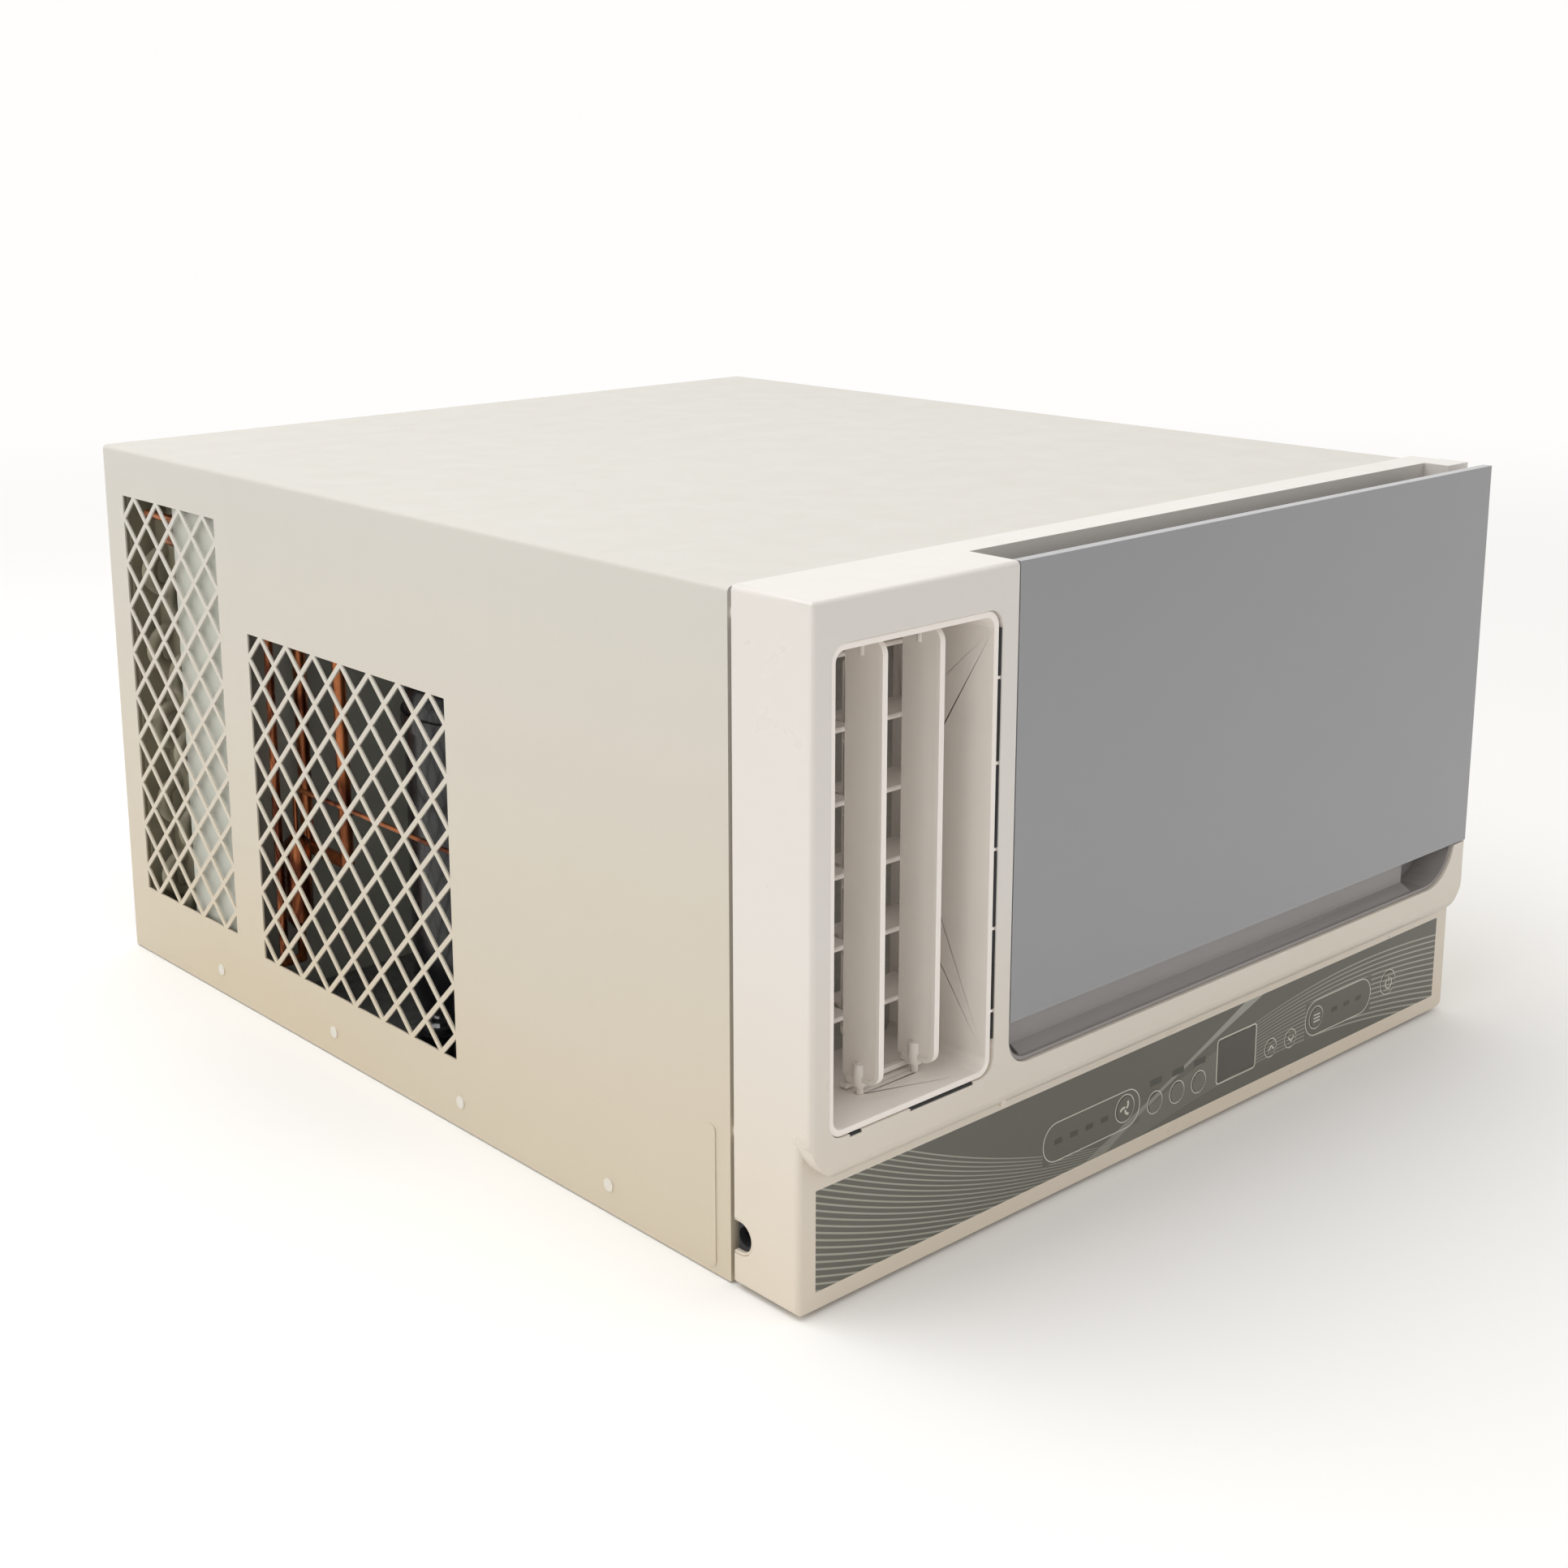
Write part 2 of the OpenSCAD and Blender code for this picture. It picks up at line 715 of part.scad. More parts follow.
// Outline of a louver in (y, z): round front corners
module louver_2d(shrink) {
    r = louver_corner_r - shrink;
    plate_2d([louver_y - louver_reach[0] + shrink, louver_z[0] + shrink],
             [louver_y + louver_reach[1] - shrink, louver_z[1] - shrink], [r, 1, 1, r]);
}

module louver(x, foot_z) {
    color("lightgray") {
        along_x(x - louver_t / 2, x + louver_t / 2) louver_2d(0);
        along_x(x - louver_rim_t / 2, x + louver_rim_t / 2) difference() {
            louver_2d(0);
            louver_2d(2.4);
            translate([louver_y, 0]) square([louver_reach[1] + eps, cabinet_h]);
        }
        // pivot pins, a round foot, and the crank with its pin
        rod([x, louver_y, foot_z], [0, 0, 1], louver_z[0] + 10 - foot_z, louver_pin_r);
        rod([x, louver_y, louver_z[1] - 10], [0, 0, 1], frame_z[1] - louver_z[1] + 10, louver_pin_r);
        rod([x, louver_y, crank_z[0]], [0, 0, 1], 12, 3.6);
        block([x - 2, louver_y, crank_z[0]], [x + 2, louver_y + louver_crank, crank_z[1] + 1]);
        rod([x, louver_y + louver_crank, link_z[0]], [0, 0, 1], crank_z[1] + 1 - link_z[0], link_pin_r);
    }
}

module louver_left() {
    louver(louver_xs[0], frame_z[0] - 2);
}

module louver_right() {
    louver(louver_xs[1], frame_z[0] + 0.2);
}

module louver_link() {
    y = louver_y + louver_crank;
    color("lightgray") difference() {
        block([louver_xs[0] - 4, y - link_w / 2, link_z[0]], [louver_xs[1] + 4, y + link_w / 2, link_z[1]]);
        rod([louver_xs[0], y, 0], [0, 0, 1], cabinet_h, link_pin_r + run_fit);
        rod([louver_xs[1], y, 0], [0, 0, 1], cabinet_h, link_pin_r + link_slack);
    }
}

// One horizontal vane, notched where the link bar passes, with its crank ear
module vane(n) {
    z = vane_top_z - (n - 1) * vane_pitch;
    x = [inner_x[0] + 1, inner_x[1] - 1];
    y0 = vane_y - vane_chord / 2;
    pin = [vane_y + vane_crank[0], z + vane_crank[1]];
    color("darkgray") {
        difference() {
            union() {
                block([x[0], y0, z - vane_t / 2], [x[1], y0 + vane_chord, z + vane_t / 2]);
                rod([x[0], y0, z], [1, 0, 0], x[1] - x[0], 1.4);
                for (e = [x[0], x[1] - 4]) rod([e, vane_y, z], [1, 0, 0], 4, 3);
            }
            block([vane_notch_x[0], y0 - 3, z - 5], [vane_notch_x[1], y0 + vane_notch_depth, z + 5]);
        }
        rod([frame_x[0] + 0.3, vane_y, z], [1, 0, 0], 8, vane_pin_r);
        rod([frame_x[1] - 0.3, vane_y, z], [-1, 0, 0], 8, vane_pin_r);
        along_x(vane_notch_x[1], vane_notch_x[1] + vane_ear_t) {
            polygon([[vane_y - 4, z + 0.5], [vane_y + 5, z + 0.5], [pin[0] + 2.4, pin[1] - 1.4],
                     [pin[0] - 2.6, pin[1] + 1]]);
            translate(pin) circle(2.8);
        }
        rod([vane_bar_x[0], pin[0], pin[1]], [1, 0, 0], vane_notch_x[1] + 1 - vane_bar_x[0], link_pin_r);
    }
}

module vane_1() { vane(1); }
module vane_2() { vane(2); }
module vane_3() { vane(3); }
module vane_4() { vane(4); }
module vane_5() { vane(5); }
module vane_6() { vane(6); }

module vane_link() {
    y = vane_y + vane_crank[0];
    z1 = vane_top_z + vane_crank[1];
    z0 = z1 - (vane_count - 1) * vane_pitch;
    color("darkgray") along_x(vane_bar_x[0], vane_bar_x[1]) difference() {
        plate_2d([y - vane_bar_w / 2, z0 - 4], [y + vane_bar_w / 2, z1 + 4], [2, 2, 2, 2]);
        translate([y, z1]) circle(link_pin_r + run_fit);
        for (i = [1:vane_count - 1]) translate([y, z1 - i * vane_pitch]) circle(link_pin_r + link_slack);
    }
}

module swing_motor() {
    top = frame_z[0] - 0.2;
    color("gray") difference() {
        union() {
            rod([louver_xs[0], louver_y, top], [0, 0, -1], swing_h, swing_r);
            block([louver_xs[0] - 19, louver_y - 4, top - 2], [louver_xs[0] + 19, louver_y + 4, top]);
        }
        rod([louver_xs[0], louver_y, top - 4], [0, 0, 1], 10, louver_pin_r + 0.4);
    }
}

// ---- controls ----

module control_overlay() {
    color("dimgray") difference() {
        block([overlay_x[0], strip_y, overlay_z[0]], [overlay_x[1], strip_y + overlay_t, overlay_z[1]]);
        block([display_x[0], strip_y - eps, display_z[0]], [display_x[1], strip_y + eps, display_z[1]]);
        for (k = keys) rod([k[0], strip_y - eps, k[1]], [0, 1, 0], 2 * eps + overlay_t, k[2]);
    }
}

module display_window() {
    gap = 0.2;
    color("black")
        block([display_x[0] + gap, strip_y, display_z[0] + gap],
              [display_x[1] - gap, strip_y + wall + 0.4, display_z[1] - gap]);
}

module key_cap(k) {
    back_y = strip_y + wall + 0.1;
    color("dimgray") {
        rod([k[0], strip_y - key_proud, k[1]], [0, 1, 0], back_y + 1 - strip_y + key_proud,
            k[2] - key_slack);
        rod([k[0], back_y, k[1]], [0, 1, 0], key_collar_t, k[2] + key_collar);
    }
}

module fan_speed_button() { key_cap(key_fan); }
module swing_button() { key_cap(key_swing); }
module timer_button() { key_cap(key_timer); }
module sleep_button() { key_cap(key_sleep); }
module temp_up_button() { key_cap(key_up); }
module temp_down_button() { key_cap(key_down); }
module mode_button() { key_cap(key_mode); }
module power_button() { key_cap(key_power); }

module control_board() {
    y = strip_y + wall + board_gap;
    color("darkgreen") {
        block([-70, y, 10], [250, y + board_t, 70]);
        block([display_x[0] + 3, strip_y + wall + 0.6, display_z[0] + 3],
              [display_x[1] - 3, y + 0.5, display_z[1] - 3]);
        block([0, y + 1, 20], [40, y + 12, 50]);
        for (x = [-60, 240]) block([x - 4, y + 1, 4 + 2], [x + 4, y + 9, 60]);
    }
}

// ---- heat exchangers ----

function tube_z(hx, row, k) = hx[2] + (row * row_stagger + k) * hx[3];

// Straight tubes and return bends of one coil, as one winding path per row, joined at the low right
module coil_tubes(hx, rows, r) {
    bend_r = hx[3] / 2;
    x0 = hx[0] - plate_t;
    x1 = hx[1] + plate_t;
    for (row = [0:1]) {
        for (k = [0:tube_count - 1]) {
            lead = k == tube_count - 1 ? tube_stub : 0;
            rod([x0 - lead, rows[row], tube_z(hx, row, k)], [1, 0, 0], x1 - x0 + lead, r);
        }
        for (k = [0:tube_count - 2]) {
            left = k % 2 == 0;
            translate([left ? x0 : x1, rows[row], tube_z(hx, row, k) + bend_r])
                rotate([90, 0, 0]) rotate([0, 0, left ? 90 : -90])
                    rotate_extrude(angle = 180) translate([bend_r, 0]) circle(r);
        }
    }
    // cross-over from the first row's lowest tube to the second row's
    ends = [for (row = [0:1]) [x1 + cross_reach, rows[row], tube_z(hx, row, 0)]];
    for (e = ends) {
        rod(e, [-1, 0, 0], cross_reach + 1, r);
        translate(e) sphere(r);
    }
    strut(ends[0], ends[1], r);
}

module coil_bores(hx, rows, r) {
    for (row = [0:1], k = [0:tube_count - 1])
        rod([hx[0] - 10, rows[row], tube_z(hx, row, k)], [1, 0, 0], hx[1] - hx[0] + 20, r);
}

module fin_block(hx, rows, y, z, r) {
    difference() {
        block([hx[0], y[0], z[0]], [hx[1], y[1], z[1]]);
        coil_bores(hx, rows, r);
    }
}

module end_plates(hx, rows, y, z, r) {
    difference() {
        for (x = [hx[0] - plate_t, hx[1]]) block([x, y[0], z[0]], [x + plate_t, y[1], z[1]]);
        coil_bores(hx, rows, r);
    }
}

module evaporator_fins() {
    color("lightsteelblue") fin_block(evap, evap_rows, evap_block_y, evap_block_z, evap_tube_r);
}

module evaporator_tubes() {
    color("peru") coil_tubes(evap, evap_rows, evap_tube_r);
}

module evaporator_end_plates() {
    color("silver") end_plates(evap, evap_rows, evap_block_y, evap_plate_z, evap_tube_r);
}

module condenser_fins() {
    color("darkolivegreen") fin_block(cond, cond_rows, cond_block_y, cond_block_z, cond_tube_r);
}

module condenser_tubes() {
    color("peru") coil_tubes(cond, cond_rows, cond_tube_r);
}

// End plates, each with a flange that closes the gap to the cabinet at the rear
module condenser_end_plates() {
    flange_y = cond_block_y[1] - plate_t;
    color("silver") {
        end_plates(cond, cond_rows, cond_block_y, cond_plate_z, cond_tube_r);
        both_sides()
            block([cond[1], flange_y, cond_plate_z[0]], [shroud_x, cond_block_y[1], cond_plate_z[1]]);
    }
}

module drain_tray() {
    lo = [-150, pan_y0 + pan_t + 0.3, pan_t];
    hi = [290, -236, 38];
    color("white") difference() {
        block(lo, hi);
        block(lo + [2, 2, 2.5], hi + [-2, -2, eps]);
    }
}

// ---- blower ----

// Outline of the scroll in (x, z): a spiral that opens into the outlet duct on the left
module scroll_2d(inset) {
    r_top = scroll_r0 + scroll_growth - inset;
    duct_x = frame_x[0] - 2 + inset;
    duct_in_x = frame_x[1] + 3 - inset;
    spiral = [for (a = [180:6:450])
        let (r = scroll_r0 + scroll_growth * (a - 180) / 270 - inset)
            [fan_x + r * cos(a), fan_z + r * sin(a)]];
    polygon(concat(spiral, [[duct_x, fan_z + r_top], [duct_x, frame_z[0] - 2.5 + inset],
                            [duct_in_x, frame_z[0] - 2.5 + inset]]));
}

module blower_scroll() {
    duct_lo = [frame_x[0] - 2, frame_z[0] - 2.5];
    duct_hi = [frame_x[1] + 3, fan_z + scroll_r0 + scroll_growth];
    color("white") difference() {
        union() {
            along_y(scroll_y[0], scroll_y[1]) scroll_2d(0);
            along_y(frame_y1, scroll_y[0] + eps) plate_2d(duct_lo, duct_hi);
        }
        along_y(scroll_y[0] - eps, scroll_y[1] - scroll_t) scroll_2d(scroll_t);
        along_y(frame_y1 - eps, scroll_y[0] + 2 * eps)
            plate_2d(duct_lo + [scroll_t, scroll_t], duct_hi - [scroll_t, scroll_t]);
        on_fan_axis(scroll_y[1] - 10) cylinder(h = 20, r = 18);
    }
}

// Front cover of the scroll, with the round inlet
module scroll_front_plate() {
    t = 2;
    color("white") {
        difference() {
            along_y(scroll_y[0] - t, scroll_y[0]) scroll_2d(0);
            block([-cab_x, -cab_x, 0], [frame_x[1] + 3, 0, cabinet_h]);
            on_fan_axis(scroll_y[0] - 10) cylinder(h = 20, r = inlet_r);
        }
        on_fan_axis(scroll_y[0] - t) rotate_extrude()
            polygon([[inlet_r, 0], [inlet_r + 4, 0], [inlet_r + 4, t], [inlet_r + 2, 10], [inlet_r, 10]]);
    }
}

module blower_wheel() {
    len = wheel_y[1] - wheel_y[0];
    inner = wheel_r - wheel_ring_w;
    color("dimgray") on_fan_axis(wheel_y[0]) difference() {
        union() {
            linear_extrude(2.5) ring_2d(wheel_r, inner);
            translate([0, 0, len - 3]) cylinder(h = 3, r = wheel_r);
            translate([0, 0, len - 28]) cylinder(h = 28, r = 14);
            for (i = [0:wheel_blades - 1])
                rotate(i * 360 / wheel_blades) translate([inner + 0.5, 0, 1]) rotate(25)
                    cube([12, 1.5, len - 2]);
        }
        translate([0, 0, -eps]) cylinder(h = len + 2 * eps, r = shaft_r);
    }
}

module motor_shaft() {
    color("silver") on_fan_axis(wheel_y[1] - 30) cylinder(h = fan_y + 22 - wheel_y[1] + 30, r = shaft_r);
}

// One pitched blade, drawn flat and turned about its radius
module fan_blade() {
    tip_r = slinger_r - 3;
    arc = [-blade_half_angle:4:blade_half_angle];
    root = [for (a = [blade_half_angle:-7:-blade_half_angle]) [fan_hub_r - 4, 0] + [0, 22 * sin(a)]];
    rotate([fan_pitch, 0, 0]) translate([0, 0, -1.1]) linear_extrude(2.2)
        polygon(concat([for (a = arc) tip_r * [cos(a), sin(a)]], root));
}

module condenser_fan() {
    color("black") on_fan_axis(fan_y) difference() {
        union() {
            translate([0, 0, -20]) cylinder(h = 40, r = fan_hub_r);
            translate([0, 0, -9]) linear_extrude(18) ring_2d(slinger_r, slinger_r - 5);
            for (i = [0:fan_blades - 1]) rotate(i * 360 / fan_blades) fan_blade();
        }
        translate([0, 0, -40]) cylinder(h = 80, r = shaft_r);
    }
}

module fan_motor() {
    len = motor_y[1] - motor_y[0];
    color("darkslategray") on_fan_axis(motor_y[0]) difference() {
        union() {
            cylinder(h = 4, r = 24);
            translate([0, 0, 4]) cylinder(h = len - 8, r = motor_r);
            translate([0, 0, len / 2 - 4]) cylinder(h = 8, r = motor_r + 5);
            translate([0, 0, len - 4]) cylinder(h = 4, r = 24);
        }
        translate([0, 0, -eps]) cylinder(h = len + 2 * eps, r = shaft_r + run_fit);
    }
}

module motor_bracket() {
    mid = (motor_y[0] + motor_y[1]) / 2;
    width = 110;
    leg_y = [mid - 45, mid + 37];
    color("gray") difference() {
        union() {
            for (y = leg_y) block([fan_x - width / 2, y, pan_t], [fan_x + width / 2, y + 8, fan_z - 20]);
            block([fan_x - width / 2, leg_y[0], pan_t], [fan_x + width / 2, leg_y[1] + 8, pan_t + 3]);
        }
        on_fan_axis(-200) cylinder(h = 400, r = motor_r + 0.2);
        for (x = [-1, 1]) block([fan_x + x * 30 - 12, -200, 30], [fan_x + x * 30 + 12, 100, 100]);
    }
}

module bulkhead() {
    half = pan_x - pan_t - 0.3;
    color("gainsboro") difference() {
        block([-half, bulkhead_y, pan_t], [half, bulkhead_y + bulkhead_t, cabinet_h - sheet_t - 0.5]);
        on_fan_axis(bulkhead_y - 10) cylinder(h = 20, r = 30);
        rod([riser_x, bulkhead_y - 10, suction_z], [0, 1, 0], 20, suction_r + 2);
        rod([riser_x, bulkhead_y - 10, capillary_z], [0, 1, 0], 20, capillary_r + 2);
    }
}

module fan_shroud() {
    t = 1.5;
    pipe_rs = [discharge_r, liquid_r];
    color("lightgray") {
        difference() {
            block([-shroud_x, shroud_y[0], shroud_z[0]], [shroud_x, shroud_y[1], shroud_z[1]]);
            block([t - shroud_x, shroud_y[0] + t, shroud_z[0] + t],
                  [shroud_x - t, shroud_y[1] + eps, shroud_z[1] - t]);
            on_fan_axis(shroud_y[0] - 10) cylinder(h = 20, r = shroud_hole_r);
            for (row = [0:1])
                rod([header_x, shroud_y[0] - 5, tube_z(cond, row, tube_count - 1)], [0, 1, 0], 10,
                    pipe_rs[row] + 0.5);
        }
        on_fan_axis(shroud_y[0]) linear_extrude(20) ring_2d(shroud_hole_r + t, shroud_hole_r);
    }
}

// ---- compressor and pipes ----

function foot_at(a) = comp_at + foot_reach * [cos(a), sin(a)];

module at_feet() {
    for (a = foot_angles) translate([foot_at(a)[0], foot_at(a)[1], 0]) children();
}

module compressor() {
    h = comp_z[1] - comp_z[0];
    color("black") difference() {
        union() {
            translate([comp_at[0], comp_at[1], comp_z[0]]) {
                rotate_extrude() plate_2d([0, 0], [comp_r, h], [0, 0, comp_dome, 0]);
                translate([0, 0, h - comp_dome - 16]) cylinder(h = 10, r = comp_r + 2);
                for (a = foot_angles)
                    rotate(a) translate([foot_root, -12, -3]) cube([foot_reach - foot_root, 24, 4]);
            }
            at_feet() translate([0, 0, comp_z[0] - 3]) cylinder(h = 4, r = foot_pad_r);
        }
        at_feet() translate([0, 0, comp_z[0] - 10]) cylinder(h = 20, r = 6);
    }
}

module compressor_grommets() {
    color("black") at_feet() difference() {
        union() {
            translate([0, 0, pan_t]) cylinder(h = comp_z[0] - 3 - pan_t, r = grommet_r);
            translate([0, 0, pan_t]) cylinder(h = comp_z[0] + 4 - pan_t, r = 6);
            translate([0, 0, comp_z[0] + 1]) cylinder(h = 3, r = grommet_r);
        }
        cylinder(h = 60, r = stud_r);
    }
}

module compressor_studs() {
    top = comp_z[0] + 4;
    color("silver") at_feet() {
        translate([0, 0, pan_t]) cylinder(h = top + 12 - pan_t, r = stud_r);
        translate([0, 0, top]) cylinder(h = 1.2, r = 8);
        translate([0, 0, top + 1.2]) cylinder(h = 5, r = 5.5, $fn = 6);
    }
}

module accumulator() {
    tail_z = 50;
    color("black") {
        translate([acc_at[0], acc_at[1], acc_z[0]]) cylinder(h = acc_z[1] - acc_z[0], r = acc_r);
        pipe([[acc_at[0], acc_at[1], acc_z[0] + 1], [acc_at[0], acc_at[1], tail_z],
              [comp_at[0] + comp_r + 0.2, acc_at[1], tail_z]], acc_tail_r);
    }
}

module discharge_pipe() {
    top = 300;
    a = [-255, 135];
    b = [-255, 185];
    end_z = tube_z(cond, 0, tube_count - 1);
    color("peru") pipe([
        [comp_at[0], comp_at[1], comp_z[1] + 0.5], [comp_at[0], comp_at[1], top], [comp_at[0], a[1], top],
        [a[0], a[1], top], [a[0], a[1], 110], [b[0], b[1], 110], [b[0], b[1], end_z],
        [header_x, b[1], end_z], [header_x, cond_rows[0], end_z]], discharge_r);
}

module suction_pipe() {
    start_z = tube_z(evap, 1, tube_count - 1);
    x = evap[0] - plate_t - tube_stub;
    top = acc_z[1] + 35;
    color("peru") pipe([
        [x - 0.1, evap_rows[1], start_z],
        [riser_x, evap_rows[1], start_z],
        [riser_x, evap_rows[1], suction_z],
        [riser_x, suction_y, suction_z], [riser_x, suction_y, top], [acc_at[0], suction_y, top],
        [acc_at[0], acc_at[1], top], [acc_at[0], acc_at[1], acc_z[1]]], suction_r);
}

module liquid_pipe() {
    start_z = tube_z(cond, 1, tube_count - 1);
    color("peru") pipe([
        [header_x, cond_rows[1], start_z], [header_x, drier_at[1], start_z], [header_x, drier_at[1], 40],
        [drier_at[0], drier_at[1], 40], [drier_at[0], drier_at[1], drier_z[0]]], liquid_r);
}

module filter_drier() {
    color("peru") translate([drier_at[0], drier_at[1], drier_z[0]]) {
        cylinder(h = 8, r1 = 3.2, r2 = drier_r);
        translate([0, 0, 8]) cylinder(h = drier_z[1] - drier_z[0] - 16, r = drier_r);
        translate([0, 0, drier_z[1] - drier_z[0] - 8]) cylinder(h = 8, r1 = drier_r, r2 = 2);
    }
}

module capillary_tube() {
    end_z = tube_z(evap, 0, tube_count - 1);
    loop_z = 160;
    color("peru") pipe([
        [drier_at[0], drier_at[1], drier_z[1]], [drier_at[0], drier_at[1], loop_z],
        [drier_at[0], capillary_y, loop_z], [drier_at[0], capillary_y, capillary_z],
        [riser_x, capillary_y, capillary_z], [riser_x, evap_rows[0], capillary_z],
        [riser_x, evap_rows[0], end_z], [evap[0] - plate_t - tube_stub - 0.1, evap_rows[0], end_z]],
        capillary_r);
}

// ---- electronics behind the bulkhead ----

module control_box() {
    t = 1.2;
    color("silver") difference() {
        block(box_lo, box_hi);
        block(box_lo + [t, t, t], box_hi - [t, t, -eps]);
    }
}

module inverter_board() {
    floor_z = box_lo[2] + 1.2;
    color("darkgreen") {
        block([box_lo[0] + 8, box_lo[1] + 10, floor_z + 8], [box_hi[0] - 8, box_hi[1] - 10, floor_z + 9.6]);
        for (x = [box_lo[0] + 14, box_hi[0] - 14], y = [box_lo[1] + 16, box_hi[1] - 16])
            translate([x, y, floor_z]) cylinder(h = 9, r = 3);
        for (i = [0:2])
            translate([box_lo[0] + 35, box_lo[1] + 40 + 34 * i, floor_z + 9]) cylinder(h = 45, r = 14);
        block([box_hi[0] - 70, box_lo[1] + 30, floor_z + 9],
              [box_hi[0] - 30, box_hi[1] - 40, floor_z + 40]);
    }
}

base_pan();
cabinet_shell();
housing_screws();
drain_spout();
front_bezel();
cord_grommet();
intake_frame();
outlet_frame();
swing_motor();
control_overlay();
display_window();
control_board();
drain_tray();
evaporator_fins();
evaporator_tubes();
evaporator_end_plates();
blower_scroll();
scroll_front_plate();
bulkhead();
fan_motor();
motor_bracket();
fan_shroud();
condenser_fins();
condenser_tubes();
condenser_end_plates();
compressor();
compressor_grommets();
compressor_studs();
accumulator();
discharge_pipe();
suction_pipe();
liquid_pipe();
filter_drier();
capillary_tube();
control_box();
inverter_board();
motor_shaft();
blower_wheel();
condenser_fan();
intake_panel();
filter_frame();
filter_mesh();
louver_left();
louver_right();
louver_link();
vane_1();
vane_2();
vane_3();
vane_4();
vane_5();
vane_6();
vane_link();
fan_speed_button();
swing_button();
timer_button();
sleep_button();
temp_up_button();
temp_down_button();
mode_button();
power_button();
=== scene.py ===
import json
import math

import bpy
from mathutils import Matrix, Vector

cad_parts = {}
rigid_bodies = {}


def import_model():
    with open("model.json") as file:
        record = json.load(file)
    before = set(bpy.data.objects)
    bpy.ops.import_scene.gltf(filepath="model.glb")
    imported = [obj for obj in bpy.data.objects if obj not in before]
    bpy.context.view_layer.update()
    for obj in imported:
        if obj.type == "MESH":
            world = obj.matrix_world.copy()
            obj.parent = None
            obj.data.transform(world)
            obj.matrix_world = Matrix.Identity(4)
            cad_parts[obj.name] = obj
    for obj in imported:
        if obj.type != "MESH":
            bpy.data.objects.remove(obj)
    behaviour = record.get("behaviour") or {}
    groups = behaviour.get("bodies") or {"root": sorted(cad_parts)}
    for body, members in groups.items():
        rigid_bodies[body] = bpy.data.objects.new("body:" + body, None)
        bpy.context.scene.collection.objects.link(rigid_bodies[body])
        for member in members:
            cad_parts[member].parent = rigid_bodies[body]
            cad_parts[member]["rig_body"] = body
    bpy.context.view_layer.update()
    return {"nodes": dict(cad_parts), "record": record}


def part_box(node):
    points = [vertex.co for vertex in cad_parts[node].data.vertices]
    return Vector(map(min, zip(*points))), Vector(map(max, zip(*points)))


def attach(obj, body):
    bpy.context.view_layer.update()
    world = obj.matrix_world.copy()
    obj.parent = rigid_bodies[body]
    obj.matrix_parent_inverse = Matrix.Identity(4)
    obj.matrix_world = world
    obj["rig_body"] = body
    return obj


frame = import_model()
nodes = frame["nodes"]

MM = 0.001
X, Y, Z = 0, 1, 2

# Places on the front, in metres, read from the CAD nodes
STRIP_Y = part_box("control_overlay")[0].y
OVERLAY_LO, OVERLAY_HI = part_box("control_overlay")
BEZEL_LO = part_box("front_bezel")[0]
# The bezel's walls end here; only its screw posts reach further back
BEZEL_BACK_Y = BEZEL_LO.y + 57 * MM


def key_centre(name):
    lo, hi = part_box(name)
    return Vector(((lo.x + hi.x) / 2, lo.y, (lo.z + hi.z) / 2))


# Long round-ended fields printed round the fan key and the mode key: their corners in (x, z)
PILL_HALF = 12 * MM
FAN_PILL_LEFT, MODE_PILL_RIGHT = -114 * MM, 211 * MM
fan, mode = key_centre("fan_speed_button"), key_centre("mode_button")
fan_pill_z = fan.z - 1 * MM
PILL_BOXES = {
    "fan_pill": ((FAN_PILL_LEFT, fan_pill_z - PILL_HALF), (fan.x + 14 * MM, fan_pill_z + PILL_HALF)),
    "mode_pill": ((mode.x - 12 * MM, mode.z - PILL_HALF), (MODE_PILL_RIGHT, mode.z + PILL_HALF)),
}


def srgb(code):
    """A linear colour from a hex code."""
    parts = [int(code[i:i + 2], 16) / 255 for i in (1, 3, 5)]
    return tuple(p / 12.92 if p <= 0.04045 else ((p + 0.055) / 1.055) ** 2.4 for p in parts) + (1.0,)


def shaded(colour, factor):
    return tuple(min(c * factor, 1.0) for c in colour[:3]) + (1.0,)


# ---- materials ----

